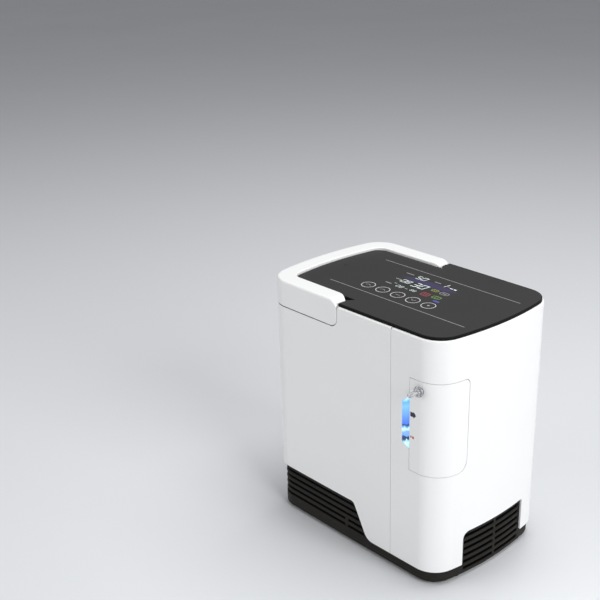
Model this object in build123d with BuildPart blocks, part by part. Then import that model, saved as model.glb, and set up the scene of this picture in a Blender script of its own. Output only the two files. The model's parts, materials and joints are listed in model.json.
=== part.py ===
from build123d import *
import os
from math import cos, radians, sin

# Home oxygen concentrator: a white two-part case on a louvred black base, a dark glass control
# panel inside a folding carry handle, and a humidifier that pulls out of the front right corner.
# Millimetres, +Z up, the control side faces -Y and the humidifier is at +X. The origin is the
# middle of the whole object's footprint on the floor, outlet spigot included.

# ---------------------------------------------------------------- driving dimensions
TOP = 310.0             # floor to the top of the folded handle
HALF_WIDTH = 144.5      # case, at the crown of its bowed end walls
HALF_DEPTH = 96.2       # case, at the middle of its long walls
CORNER_X = 133.1        # where the bowed walls would meet, before the corners are rounded
CORNER_Y = 95.45
CORNER_R = 31.8
DRAFT = 2.3             # how far each wall leans in between the top and the floor
WALL = 2.5
GAP = 0.4               # open seam between two mouldings
FINE_GAP = 0.1          # closed seam between the two halves of the case

SPIGOT_REACH = 15.8     # outlet spigot, beyond the front wall
CENTRE_Y = SPIGOT_REACH / 2

FOOT_H = 4.0
TRAY_FLOOR = 3.0
FOOT_X, FOOT_Y, FOOT_R = 108.0, 62.0, 10.0
SCREW_Z, SCREW_HEAD_R, SCREW_R = 1.4, 4.2, 2.0
BASE_INSET = 2.9        # black base, behind the case's outer face
BASE_WALL = 2.4
SKIRT_Z = 18.9          # lower edge of the white case
GRILLE_Z = 61.5         # top edge of both grille openings
TRAY_RIM_Z = 24.0
SLOPE_X = (6.8, 29.0)   # the lower edge slopes between the two heights here
SLOPE_R = (6.0, 14.0)
GRILLE_Y = (-51.5, 54.4)
LEFT_SLOTS, LEFT_SLOT_Z, LEFT_SLOT_PITCH, LEFT_SLOT_H = 5, 20.8, 8.2, 3.6
RIGHT_SLOTS, RIGHT_SLOT_Z, RIGHT_SLOT_PITCH, RIGHT_SLOT_H = 6, 11.0, 8.5, 3.4
RIGHT_SLOT_Y, RIGHT_SLOT_W = (-22.7, 28.7), 49.4
SEAM_X = 66.7           # joint between the two halves of the case

HANDLE_H = 32.3
HANDLE_Z = TOP - HANDLE_H
HANDLE_W = 22.0
HANDLE_END_X = -17.0
HANDLE_TOP_R = 0.4 * HANDLE_H
HANDLE_LOW_R = 0.35 * HANDLE_H
NEST_R = 15.0           # inner corners of the handle
ARM_X = -40.0           # the arms thin out from here to their ends
HOLLOW_X = -44.0        # the handle is hollow up to here
HOLLOW_EDGE = 3.2
PIVOT_X = HANDLE_END_X - HANDLE_TOP_R
PIVOT_Z = TOP - HANDLE_TOP_R
PIN_R = 2.5
BUSH_R = 3.9
BOSS_R, BOSS_Y = 6.0, 71.2
RUNNING = 0.05          # radial clearance of every turning fit

PANEL_Z = 307.05        # top of the control panel
PANEL_T = 2.85
DECK_Z = PANEL_Z - PANEL_T - 0.3
DECK_T = 3.0
SHELL_TOP = PANEL_Z - PANEL_T - FINE_GAP
PANEL_INSET, NEST_GAP = 1.0, 0.6
RECEIVER_X, RECEIVER_R = -101.6, 1.7
RECESS_Z = HANDLE_Z - GAP
BOARD_Z, BOARD_T = 290.0, 1.6
DISPLAY_CENTRE = (22.0, 1.5)
DISPLAY_W, DISPLAY_D = 132.0, 82.0
KEY_X, KEY_Y, KEY_PITCH = -34.2, -28.4, 23.3    # five touch keys, the left one first

COVER_X = 94.3          # left edge of the humidifier cover, on the front
COVER_Y = -51.0         # its rear edge, on the right side
COVER_LOW = 141.3
COVER_HIGH = 254.0
COVER_R = (13.0, 6.0)   # its rear corners, the lower one first
WINDOW_X = 83.5         # left edge of the water-level window
WINDOW_LOW = (173.0, 167.4)     # heights of its foot, at the window's left and right edge
WINDOW_HIGH = (222.3, 231.8)
SPIGOT_X = 109.0
SPIGOT_Z = 242.5
SPIGOT_R = 3.0

SHAFT_Z = 68.0          # compressor axis
FAN_X, FAN_Z = 106.0, 60.0
FAN_SIZE, FAN_T = 92.0, 25.0
FAN_BLADES, FAN_HUB_R, FAN_PIN_R = 7, 15.0, 2.0
BED_X, BED_Y, BED_R = -100.0, 34.0, 28.0
SHELF_Z, SHELF_T = 144.0, 3.0

ROCKER_X, ROCKER_Z, ROCKER_TILT = 100.0, 92.0, 8.0
ROCKER_Y = HALF_DEPTH - 6.0     # the rocker turns on its pins here
ROCKER_W, ROCKER_PIN_R = 12.4, 1.2
REAR_SINK = 1.9                 # rear fittings end this far inside the wall's crown
ROCKER_HOLE, INLET_HOLE = (17.0, 23.0), (29.0, 22.0)
INLET_Z = 50.0
FILTER_X, FILTER_Z, FILTER_W, FILTER_H, FILTER_R = -42.0, 190.0, 84.0, 96.0, 6.0

THROUGH = 400.0         # longer than any piece

# plan views are drawn on CASE, front views on FRONT (u = x, v = z), side views on SIDE (u = y, v = z)
CASE = Plane((0, CENTRE_Y, 0))
FRONT = Plane((0, CENTRE_Y, 0), x_dir=(1, 0, 0), z_dir=(0, -1, 0))
SIDE = Plane((0, CENTRE_Y, 0), x_dir=(0, 1, 0), z_dir=(1, 0, 0))

os.makedirs("parts", exist_ok=True)


def save(builder, name):
    """Label a finished piece and write it to its own STEP file."""
    builder.part.label = name
    export_step(builder.part, f"parts/{name}.step")


# ---------------------------------------------------------------- shapes shared by several pieces
def case_plan(inset, corner_r=None):
    """Plan of the case: four bowed walls with rounded corners, drawn inside the top outline."""
    radius = CORNER_R - inset if corner_r is None else corner_r
    with BuildSketch() as plan:
        with BuildLine():
            ThreePointArc((-CORNER_X, -CORNER_Y), (0, -HALF_DEPTH), (CORNER_X, -CORNER_Y))
            ThreePointArc((CORNER_X, -CORNER_Y), (HALF_WIDTH, 0), (CORNER_X, CORNER_Y))
            ThreePointArc((CORNER_X, CORNER_Y), (0, HALF_DEPTH), (-CORNER_X, CORNER_Y))
            ThreePointArc((-CORNER_X, CORNER_Y), (-HALF_WIDTH, 0), (-CORNER_X, -CORNER_Y))
        make_face()
        if inset > 0:
            offset(amount=-inset, kind=Kind.INTERSECTION)
        fillet(plan.vertices(), radius)
    return plan.sketch


def case_block(low, high, inset=0.0):
    """Solid between two heights whose walls lean with the case, a constant distance inside it."""
    with BuildPart() as block:
        for height in (low, high):
            with BuildSketch(CASE.offset(height)):
                add(case_plan(inset + DRAFT * (TOP - height) / TOP))
        loft(ruled=True)
    return block.part


def case_wall(low, high, outer, inner):
    """Open-ended wall of the case between two heights and two insets."""
    with BuildPart() as wall:
        add(case_block(low, high, outer))
        add(case_block(low, high, inner), mode=Mode.SUBTRACT)
    return wall.part


def box(x, y, z, mode=Mode.PRIVATE):
    """Block given by its low and high ends along each axis, y counted from the case's middle."""
    centre = ((x[0] + x[1]) / 2, (y[0] + y[1]) / 2 + CENTRE_Y, (z[0] + z[1]) / 2)
    return Pos(*centre) * Box(x[1] - x[0], y[1] - y[0], z[1] - z[0], mode=mode)


def skirt_cut(margin):
    """Front view of everything below the white case's stepped lower edge."""
    slope_top, slope_low = SLOPE_X[0] + margin, SLOPE_X[1] + margin
    high, low = GRILLE_Z + margin, SKIRT_Z + margin
    with BuildSketch() as cut:
        with BuildLine():
            Polyline(
                (-THROUGH, -10), (-THROUGH, high), (slope_top, high), (slope_low, low),
                (THROUGH, low), (THROUGH, -10), close=True,
            )
        make_face()
        upper = cut.vertices().filter_by_position(Axis.X, slope_top - 1, slope_top + 1)
        fillet(upper, SLOPE_R[0])
        lower = cut.vertices().filter_by_position(Axis.X, slope_low - 1, slope_low + 1)
        fillet(lower, SLOPE_R[1])
    return cut.sketch


def cover_side(margin):
    """Side view of the humidifier cover: square at the front, rounded at its rear corners."""
    rear, high, low = COVER_Y - margin, COVER_HIGH - margin, COVER_LOW + margin
    with BuildSketch() as side:
        with Locations(((rear - 60), (high + low) / 2)):
            Rectangle(120, high - low)
        rear_corners = side.vertices().group_by(Axis.X)[-1].sort_by(Axis.Y)
        fillet(rear_corners[0], COVER_R[0])
        fillet(side.vertices().group_by(Axis.Y)[-1].sort_by(Axis.X)[-1], COVER_R[1])
    return side.sketch


def side_grille(margin):
    """Side view of the opening in the right end wall, open at its foot."""
    front, rear, high = GRILLE_Y[0] - margin, GRILLE_Y[1] + margin, GRILLE_Z + margin
    with BuildSketch() as hole:
        with Locations(((front + rear) / 2, (high - 20) / 2)):
            Rectangle(rear - front, high + 20)
        top_corners = hole.vertices().group_by(Axis.Y)[-1].sort_by(Axis.X)
        fillet(top_corners[0], 9)
        fillet(hole.vertices().group_by(Axis.Y)[-1].sort_by(Axis.X)[-1], 3)
    return hole.sketch


def window_outline(margin):
    """Front view of the water-level window beside the cover."""
    edge, left = COVER_X + margin, WINDOW_X + margin
    with BuildSketch() as window:
        with BuildLine():
            Polyline(
                (edge, WINDOW_LOW[1] + margin), (left, WINDOW_LOW[0] + margin),
                (left, WINDOW_HIGH[0] - margin), (edge, WINDOW_HIGH[1] - margin), close=True,
            )
        make_face()
    return window.sketch


def recess_cut(margin):
    """Side elevation of the handle's recess, with the round heel that the folded arm rests in."""
    end, floor_z = HANDLE_END_X + margin, HANDLE_Z - margin
    with BuildSketch() as cut:
        with Locations(((end - 200) / 2, (floor_z + THROUGH) / 2)):
            Rectangle(end + 200, THROUGH - floor_z)
        heel = cut.vertices().group_by(Axis.Y)[0].sort_by(Axis.X)[-1]
        fillet(heel, HANDLE_LOW_R + margin)
    return cut.sketch


def island_plan(gap, wall_inset, end=HANDLE_END_X + GAP):
    """Plan of the top: as wide as the case beyond the handle's ends, and nested inside the handle."""
    with BuildSketch() as island:
        add(case_plan(wall_inset))
        with Locations((end - 100, 0)):
            Rectangle(200, 300, mode=Mode.SUBTRACT)
        with BuildSketch(mode=Mode.PRIVATE) as nest:
            add(case_plan(HANDLE_W + gap, NEST_R))
            with Locations((end + 100, 0)):
                Rectangle(200, 300, mode=Mode.SUBTRACT)
        add(nest.sketch)
        inner_y = HALF_DEPTH - HANDLE_W - gap
        for side in (-1, 1):
            with BuildLine():
                Polyline(
                    (end - 0.1, side * (inner_y - 0.01)), (end + 8.5, side * inner_y),
                    (end - 0.1, side * (inner_y + 9)), close=True,
                )
            make_face(mode=Mode.SUBTRACT)
    return island.sketch


def handle_hollow():
    """Plan of everything inside the handle; the arms thin out towards their ends."""
    inner_y, end = HALF_DEPTH - HANDLE_W, HANDLE_END_X + 1
    with BuildSketch() as hollow:
        add(case_plan(HANDLE_W, NEST_R))
        for side in (-1, 1):
            with BuildLine():
                ThreePointArc(
                    (ARM_X, side * (inner_y - 0.3)), (ARM_X + 14, side * (inner_y + 2.2)),
                    (end, side * (inner_y + 8)),
                )
                Line((end, side * (inner_y + 8)), (end, 0))
                Line((end, 0), (ARM_X, 0))
                Line((ARM_X, 0), (ARM_X, side * (inner_y - 0.3)))
            make_face()
    return hollow.sketch


def tube(points, bends, radius, bore):
    """Hose with straight runs and round bends, and an open bore."""
    shifted = [(x, y + CENTRE_Y, z) for x, y, z in points]
    with BuildPart() as hose:
        with BuildLine() as path:
            FilletPolyline(*shifted, radius=bends)
        with BuildSketch(Plane(path.line @ 0, z_dir=path.line % 0)):
            Circle(radius)
            Circle(bore, mode=Mode.SUBTRACT)
        sweep(path=path.line)
    return hose


# ---------------------------------------------------------------- base
with BuildPart() as base_tray:
    add(case_wall(FOOT_H, GRILLE_Z + 4, BASE_INSET, BASE_INSET + BASE_WALL))
    add(case_block(FOOT_H, FOOT_H + TRAY_FLOOR, BASE_INSET))
    # the wall drops behind the white case, between the two grilles
    with BuildSketch(FRONT):
        with BuildLine():
            Polyline((14, 90), (14, 60), (31, TRAY_RIM_Z), (118, TRAY_RIM_Z), (118, 90), close=True)
        make_face()
    extrude(amount=THROUGH / 2, both=True, mode=Mode.SUBTRACT)
    with BuildSketch(SIDE.offset(100)):
        with Locations((-100, 64), (102, 64)):
            Rectangle(88, 2 * (64 - TRAY_RIM_Z))
    extrude(amount=100, mode=Mode.SUBTRACT)
    # left grille: slots that run round the end, the lower two broken by a rib
    for row in range(LEFT_SLOTS):
        slot_z = LEFT_SLOT_Z + LEFT_SLOT_PITCH * row
        slot_end = 27.5 - (slot_z - SKIRT_Z) / 1.92
        with BuildSketch(CASE.offset(slot_z - LEFT_SLOT_H / 2)):
            with Locations(((slot_end - 160) / 2, 0)):
                Rectangle(slot_end + 160, 300)
            with Locations((-140, 0)):
                Rectangle(40, 7, mode=Mode.SUBTRACT)
            if row < 2:
                with Locations((-9, 0)):
                    Rectangle(5, 300, mode=Mode.SUBTRACT)
        extrude(amount=LEFT_SLOT_H, mode=Mode.SUBTRACT)
    # right grille: slots in two columns
    for row in range(RIGHT_SLOTS):
        slot_z = RIGHT_SLOT_Z + RIGHT_SLOT_PITCH * row
        with BuildSketch(SIDE.offset(100)):
            with Locations((RIGHT_SLOT_Y[0], slot_z), (RIGHT_SLOT_Y[1], slot_z)):
                Rectangle(RIGHT_SLOT_W if row else RIGHT_SLOT_W - 1.4, RIGHT_SLOT_H)
        extrude(amount=100, mode=Mode.SUBTRACT)
    # posts under the sieve beds, ribs under the fan
    with BuildSketch(CASE.offset(FOOT_H + TRAY_FLOOR)):
        with Locations((BED_X, -BED_Y), (BED_X, BED_Y)):
            Circle(20)
            Circle(17, mode=Mode.SUBTRACT)
    extrude(amount=17)
    with BuildSketch(CASE.offset(FOOT_H + TRAY_FLOOR)):
        with Locations((FAN_X + FAN_T / 2, 0)):
            Rectangle(18, FAN_SIZE)
            Rectangle(12, FAN_SIZE - 6, mode=Mode.SUBTRACT)
    extrude(amount=FAN_Z - FAN_SIZE / 2 - FOOT_H - TRAY_FLOOR)
    # screw holes over the feet
    with BuildSketch(CASE.offset(FOOT_H)):
        with GridLocations(2 * FOOT_X, 2 * FOOT_Y, 2, 2):
            Circle(SCREW_R + 0.2)
    extrude(amount=TRAY_FLOOR, mode=Mode.SUBTRACT)
    chamfer(base_tray.edges().group_by(Axis.Z)[0].sort_by(Edge.length)[-8:], 1.2)
save(base_tray, "base_tray")

for side_x, side_name in ((-1, "left"), (1, "right")):
    for side_y, end_name in ((-1, "front"), (1, "rear")):
        with BuildPart() as foot:
            with BuildSketch(CASE):
                with Locations((side_x * FOOT_X, side_y * FOOT_Y)):
                    Circle(FOOT_R)
            extrude(amount=FOOT_H)
            fillet(foot.edges().group_by(Axis.Z)[0], 1)
            with BuildSketch(CASE.offset(SCREW_Z)):
                with Locations((side_x * FOOT_X, side_y * FOOT_Y)):
                    Circle(SCREW_HEAD_R + 0.2)
            extrude(amount=FOOT_H, mode=Mode.SUBTRACT)
        save(foot, f"{side_name}_{end_name}_foot")

with BuildPart() as foot_screws:
    with BuildSketch(CASE.offset(SCREW_Z)):
        with GridLocations(2 * FOOT_X, 2 * FOOT_Y, 2, 2):
            Circle(SCREW_HEAD_R)
    extrude(amount=FOOT_H - SCREW_Z)
    with BuildSketch(CASE.offset(FOOT_H)):
        with GridLocations(2 * FOOT_X, 2 * FOOT_Y, 2, 2):
            Circle(SCREW_R)
    extrude(amount=9)
save(foot_screws, "foot_screws")

# ---------------------------------------------------------------- white case
with BuildPart() as left_shell:
    add(case_wall(SKIRT_Z - 5, SHELL_TOP, 0.0, WALL))
    with BuildSketch(FRONT):
        with Locations((SEAM_X - FINE_GAP + THROUGH / 2, TOP / 2)):
            Rectangle(THROUGH, THROUGH)
    extrude(amount=THROUGH / 2, both=True, mode=Mode.SUBTRACT)
    with BuildSketch(FRONT):
        add(skirt_cut(0.0))
    extrude(amount=THROUGH / 2, both=True, mode=Mode.SUBTRACT)
    with BuildSketch(FRONT):
        add(recess_cut(GAP))
    extrude(amount=THROUGH / 2, both=True, mode=Mode.SUBTRACT)
    # opening for the air filter, in the rear wall
    with BuildSketch(FRONT.offset(-70)):
        with Locations((FILTER_X, FILTER_Z)):
            RectangleRounded(FILTER_W, FILTER_H, FILTER_R)
    extrude(amount=-60, mode=Mode.SUBTRACT)
save(left_shell, "left_shell")

with BuildPart() as right_shell:
    add(case_wall(SKIRT_Z, SHELL_TOP, 0.0, WALL))
    with BuildSketch(FRONT):
        with Locations((SEAM_X + FINE_GAP - THROUGH / 2, TOP / 2)):
            Rectangle(THROUGH, THROUGH)
    extrude(amount=THROUGH / 2, both=True, mode=Mode.SUBTRACT)
    with BuildSketch(SIDE.offset(100)):
        add(side_grille(0.0))
    extrude(amount=100, mode=Mode.SUBTRACT)
    with BuildSketch(SIDE.offset(COVER_X)):
        add(cover_side(0.0))
    extrude(amount=100, mode=Mode.SUBTRACT)
    with BuildSketch(FRONT.offset(70)):
        add(window_outline(0.0))
    extrude(amount=60, mode=Mode.SUBTRACT)
    # openings for the mains inlet and the power switch, in the rear wall
    with BuildSketch(FRONT.offset(-70)):
        with Locations((ROCKER_X, ROCKER_Z)):
            Rectangle(*ROCKER_HOLE)
        with Locations((ROCKER_X, INLET_Z)):
            Rectangle(*INLET_HOLE)
    extrude(amount=-60, mode=Mode.SUBTRACT)
save(right_shell, "right_shell")

# ---------------------------------------------------------------- top
with BuildPart() as top_deck:
    with BuildSketch(CASE.offset(RECESS_Z - WALL)):
        add(island_plan(NEST_GAP, WALL + PANEL_INSET))
    extrude(amount=DECK_Z - RECESS_Z + WALL)
    with BuildSketch(CASE.offset(RECESS_Z - WALL)):
        add(island_plan(3.0, WALL + 3.4, HANDLE_END_X + GAP + 2.4))
    extrude(amount=DECK_Z - DECK_T - RECESS_Z + WALL, mode=Mode.SUBTRACT)
    # ledge under the folded handle
    with BuildSketch(CASE.offset(RECESS_Z - WALL)):
        add(case_plan(WALL + 0.6))
        with Locations((HANDLE_END_X + GAP + 101, 0)):
            Rectangle(200, 300, mode=Mode.SUBTRACT)
        add(case_plan(HANDLE_W + 3.0, 12.0), mode=Mode.SUBTRACT)
    extrude(amount=WALL)
    # the display shows through this window
    with BuildSketch(CASE.offset(DECK_Z - DECK_T - 1)):
        with Locations(DISPLAY_CENTRE):
            Rectangle(DISPLAY_W + 4, DISPLAY_D + 4)
    extrude(amount=DECK_T + 2, mode=Mode.SUBTRACT)
    # bosses that hold the handle's pins
    with BuildSketch(FRONT.offset(-BOSS_Y)):
        with Locations((PIVOT_X, PIVOT_Z)):
            Circle(BOSS_R)
    extrude(amount=12)
    with BuildSketch(FRONT.offset(BOSS_Y)):
        with Locations((PIVOT_X, PIVOT_Z)):
            Circle(BOSS_R)
    extrude(amount=-12)
    with BuildSketch(FRONT):
        with Locations((PIVOT_X, PIVOT_Z)):
            Circle(PIN_R)
    extrude(amount=THROUGH / 2, both=True, mode=Mode.SUBTRACT)
save(top_deck, "top_deck")

with BuildPart() as control_panel:
    with BuildSketch(CASE.offset(PANEL_Z - PANEL_T)):
        add(island_plan(NEST_GAP, PANEL_INSET))
    extrude(amount=PANEL_T)
    chamfer(control_panel.edges().group_by(Axis.Z)[-1], 0.6)
    with BuildSketch(CASE.offset(PANEL_Z - PANEL_T)):
        with Locations((RECEIVER_X, 0)):
            Circle(RECEIVER_R + 0.1)
    extrude(amount=PANEL_T, mode=Mode.SUBTRACT)
save(control_panel, "control_panel")

with BuildPart() as remote_receiver:
    with BuildSketch(CASE.offset(DECK_Z)):
        with Locations((RECEIVER_X, 0)):
            Circle(RECEIVER_R)
    extrude(amount=PANEL_Z - DECK_Z - 0.1)
save(remote_receiver, "remote_receiver")

with BuildPart() as display_board:
    with BuildSketch(CASE.offset(BOARD_Z)):
        with Locations(DISPLAY_CENTRE):
            Rectangle(DISPLAY_W, DISPLAY_D)
    extrude(amount=BOARD_T)
    with BuildSketch(CASE.offset(BOARD_Z + BOARD_T)):
        for key in range(5):
            with Locations((KEY_X + key * KEY_PITCH, KEY_Y)):
                Circle(7)
        with Locations((15, 10)):
            Rectangle(96, 50)
    extrude(amount=DECK_Z - 0.2 - BOARD_Z - BOARD_T)
save(display_board, "display_board")

# ---------------------------------------------------------------- handle
with BuildPart() as handle:
    add(case_block(HANDLE_Z, TOP))
    with BuildSketch(CASE.offset(HANDLE_Z)):
        add(handle_hollow())
    extrude(amount=HANDLE_H, mode=Mode.SUBTRACT)
    with BuildSketch(FRONT):
        with Locations(((HANDLE_END_X - 200) / 2, HANDLE_Z + HANDLE_H / 2)):
            Rectangle(HANDLE_END_X + 200, HANDLE_H)
    extrude(amount=THROUGH / 2, both=True, mode=Mode.INTERSECT)
    end_edges = handle.edges().filter_by(Axis.Y).filter_by_position(
        Axis.X, HANDLE_END_X - 0.5, HANDLE_END_X + 0.5
    )
    fillet(end_edges.group_by(Axis.Z)[-1], HANDLE_TOP_R - 0.05)
    end_edges = handle.edges().filter_by(Axis.Y).filter_by_position(
        Axis.X, HANDLE_END_X - 0.5, HANDLE_END_X + 0.5
    )
    fillet(end_edges.group_by(Axis.Z)[0], HANDLE_LOW_R)
    # hollow, open underneath, solid round the pivots
    with BuildSketch(CASE.offset(HANDLE_Z)):
        add(case_plan(HOLLOW_EDGE))
        add(case_plan(HANDLE_W - 3.0, NEST_R + 3.0), mode=Mode.SUBTRACT)
        with Locations((HOLLOW_X + 150, 0)):
            Rectangle(300, 300, mode=Mode.SUBTRACT)
    extrude(amount=HANDLE_H - 3.5, mode=Mode.SUBTRACT)
    with BuildSketch(FRONT.offset(-90)):
        with Locations((PIVOT_X, PIVOT_Z)):
            Circle(BUSH_R)
    extrude(amount=180, mode=Mode.SUBTRACT)
save(handle, "handle")

with BuildPart() as handle_underside:
    with BuildSketch(CASE.offset(HANDLE_Z)):
        add(case_plan(HOLLOW_EDGE))
        add(case_plan(HANDLE_W - 3.0, NEST_R + 3.0), mode=Mode.SUBTRACT)
        with Locations((HOLLOW_X + 150, 0)):
            Rectangle(300, 300, mode=Mode.SUBTRACT)
    extrude(amount=2.4)
save(handle_underside, "handle_underside")

for side, name in ((1, "front"), (-1, "rear")):
    with BuildPart() as bush:
        with BuildSketch(FRONT.offset(side * 78)):
            with Locations((PIVOT_X, PIVOT_Z)):
                Circle(BUSH_R)
                Circle(PIN_R + RUNNING, mode=Mode.SUBTRACT)
        extrude(amount=side * 12)
    save(bush, f"{name}_handle_bush")

with BuildPart() as handle_pins:
    for side in (1, -1):
        with BuildSketch(FRONT.offset(side * 61)):
            with Locations((PIVOT_X, PIVOT_Z)):
                Circle(PIN_R)
        extrude(amount=side * 28.5)
save(handle_pins, "handle_pins")

# ---------------------------------------------------------------- humidifier bay, fixed in the case
BAY_X = (82.5, 136.0)
BAY_Y = (-91.6, -47.5)
PORT_Y, PORT_Z = -66.0, 240.0

with BuildPart() as humidifier_bay:
    add(box(BAY_X, BAY_Y, (COVER_LOW, COVER_HIGH)))
    add(box((84.5, 200), (-200, -49.5), (COVER_LOW + 2, COVER_HIGH - 2)), mode=Mode.SUBTRACT)
    add(case_block(COVER_LOW - 1, COVER_HIGH + 1, WALL + 0.4), mode=Mode.INTERSECT)
    # gas port that plugs into the lid as the humidifier slides home
    with BuildSketch(SIDE.offset(BAY_X[0])):
        with Locations((PORT_Y, PORT_Z)):
            Circle(3.0)
    extrude(amount=11)
    with BuildSketch(SIDE.offset(BAY_X[0])):
        with Locations((PORT_Y, PORT_Z)):
            Circle(1.5)
    extrude(amount=11, mode=Mode.SUBTRACT)
save(humidifier_bay, "humidifier_bay")

with BuildPart() as level_window:
    add(case_wall(COVER_LOW, COVER_HIGH, 0.5, 2.0))
    with BuildSketch(FRONT.offset(70)):
        add(window_outline(0.15))
        with Locations((COVER_X + 5, 200)):
            Rectangle(10, 100, mode=Mode.SUBTRACT)
    extrude(amount=60, mode=Mode.INTERSECT)
save(level_window, "level_window")

with BuildPart() as bay_light:
    add(box((84.5, 86.0), (-80, -56), (160, 230)))
    with BuildSketch(SIDE.offset(86.0)):
        with Locations((-68, 195)):
            with GridLocations(10, 13, 2, 5):
                Rectangle(3, 3)
    extrude(amount=0.8)
save(bay_light, "bay_light")

# ---------------------------------------------------------------- humidifier, pulled out sideways
BOTTLE_X = (87.6, 131.0)
BOTTLE_Y = (-90.4, -54.0)
BOTTLE_Z = (147.2, 226.0)
BOTTLE_WALL, BOTTLE_FLOOR = 2.0, 2.5
BOTTLE_BIG_R, BOTTLE_SMALL_R = 24.0, 5.0
SEAL_T, LID_T = 1.5, 4.5
STONE_Z, TUBE_Z = 151.0, 160.0
TUBE_PLACE = (93.6, -59.8)


def bottle_plan(inset):
    """Plan of the bottle: one large corner that follows the case, three small ones."""
    wide = BOTTLE_X[1] - BOTTLE_X[0] - 2 * inset
    deep = BOTTLE_Y[1] - BOTTLE_Y[0] - 2 * inset
    with BuildSketch() as plan:
        with Locations((sum(BOTTLE_X) / 2, sum(BOTTLE_Y) / 2)):
            Rectangle(wide, deep)
        case_corner = plan.vertices().group_by(Axis.X)[-1].sort_by(Axis.Y)[0]
        fillet(case_corner, BOTTLE_BIG_R - inset)
        small = plan.vertices().group_by(Axis.X)[0] + plan.vertices().group_by(Axis.Y)[-1]
        fillet(ShapeList(set(small)), BOTTLE_SMALL_R - inset)
    return plan.sketch


with BuildPart() as humidifier_cover:
    add(case_wall(COVER_LOW, COVER_HIGH, 0.0, WALL - 0.1))
    with BuildSketch(SIDE.offset(COVER_X + GAP)):
        add(cover_side(GAP))
    extrude(amount=100, mode=Mode.INTERSECT)
    with BuildSketch(FRONT.offset(60)):
        with Locations((SPIGOT_X, SPIGOT_Z)):
            Circle(5.0)
    extrude(amount=60, mode=Mode.SUBTRACT)
save(humidifier_cover, "humidifier_cover")

with BuildPart() as humidifier_bottle:
    with BuildSketch(CASE.offset(BOTTLE_Z[0])):
        add(bottle_plan(0.0))
    extrude(amount=BOTTLE_Z[1] - BOTTLE_Z[0])
    fillet(humidifier_bottle.edges().group_by(Axis.Z)[0], BOTTLE_FLOOR)
    with BuildSketch(CASE.offset(BOTTLE_Z[0] + BOTTLE_FLOOR)):
        add(bottle_plan(BOTTLE_WALL))
    extrude(amount=BOTTLE_Z[1], mode=Mode.SUBTRACT)
save(humidifier_bottle, "humidifier_bottle")

with BuildPart() as lid_seal:
    with BuildSketch(CASE.offset(BOTTLE_Z[1])):
        add(bottle_plan(0.2))
        add(bottle_plan(BOTTLE_WALL + 0.2), mode=Mode.SUBTRACT)
    extrude(amount=SEAL_T)
save(lid_seal, "lid_seal")

with BuildPart() as bottle_lid:
    with BuildSketch(CASE.offset(BOTTLE_Z[1] + SEAL_T)):
        add(bottle_plan(0.0))
    extrude(amount=LID_T)
    add(box((96, 124), (-95, -56), (231, 249.5)))
    add(box((90, 100), (-74, -58), (231, 248)))
    add(case_block(COVER_LOW, COVER_HIGH, WALL + 0.05), mode=Mode.INTERSECT)
    with BuildSketch(SIDE.offset(86)):
        with Locations((PORT_Y, PORT_Z)):
            Circle(3.4)
    extrude(amount=10, mode=Mode.SUBTRACT)
    with BuildSketch(FRONT.offset(78)):
        with Locations((SPIGOT_X, SPIGOT_Z)):
            Circle(4.0)
    extrude(amount=30, mode=Mode.SUBTRACT)
save(bottle_lid, "bottle_lid")

with BuildPart() as outlet_spigot:
    with BuildSketch(FRONT.offset(80)):
        with Locations((SPIGOT_X, SPIGOT_Z)):
            Circle(3.9)
    extrude(amount=HALF_DEPTH + 0.2 - 80)
    with BuildSketch(FRONT.offset(HALF_DEPTH + 0.2)):
        with Locations((SPIGOT_X, SPIGOT_Z)):
            Circle(6.4)
    extrude(amount=3.4)
    with BuildSketch(FRONT.offset(HALF_DEPTH + 3.6)):
        with Locations((SPIGOT_X, SPIGOT_Z)):
            Circle(SPIGOT_R)
    extrude(amount=SPIGOT_REACH - 3.6)
    chamfer(outlet_spigot.edges().group_by(Axis.Y)[0], 0.6)
    with BuildSketch(FRONT.offset(80)):
        with Locations((SPIGOT_X, SPIGOT_Z)):
            Circle(1.6)
    extrude(amount=40, mode=Mode.SUBTRACT)
save(outlet_spigot, "outlet_spigot")

with BuildPart() as diffuser_tube:
    with BuildSketch(CASE.offset(TUBE_Z)):
        with Locations(TUBE_PLACE):
            Circle(2.6)
            Circle(1.6, mode=Mode.SUBTRACT)
    extrude(amount=BOTTLE_Z[1] + SEAL_T - TUBE_Z)
save(diffuser_tube, "diffuser_tube")

with BuildPart() as diffuser_stone:
    with BuildSketch(CASE.offset(STONE_Z)):
        with Locations(TUBE_PLACE):
            Circle(3.4)
    extrude(amount=TUBE_Z - STONE_Z)
    fillet(diffuser_stone.edges(), 1)
save(diffuser_stone, "diffuser_stone")

# ---------------------------------------------------------------- compressor
COMPRESSOR_X = 20.0
CRANK_X = (-36.0, 76.0)
CYLINDER_Z = SHAFT_Z + 43.0     # cylinders stand on the crankcases here
HEAD_Z = CYLINDER_Z + 20.0
HEAD_H = 11.0
SHAFT_R, THROW = 6.0, 5.0
CRANKCASE_R, MOTOR_R, STATOR_R, ROTOR_R = 35.0, 42.0, 36.0, 24.0
BORE_R, BARREL_R, FIN_R, FIN_PITCH, FIN_T = 12.0, 19.0, 23.0, 4.4, 1.6

with BuildPart() as isolators:
    with BuildSketch(CASE.offset(FOOT_H + TRAY_FLOOR)):
        with Locations((COMPRESSOR_X, 0)):
            with GridLocations(116, 76, 2, 2):
                Circle(8)
    extrude(amount=14)
    fillet(isolators.edges(), 1.5)
save(isolators, "isolators")

with BuildPart() as compressor_cradle:
    add(box((-50, 90), (-48, 48), (21, 23)))
    add(box((-50, 90), (-48, -46), (23, 36)))
    add(box((-50, 90), (46, 48), (23, 36)))
save(compressor_cradle, "compressor_cradle")

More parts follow.
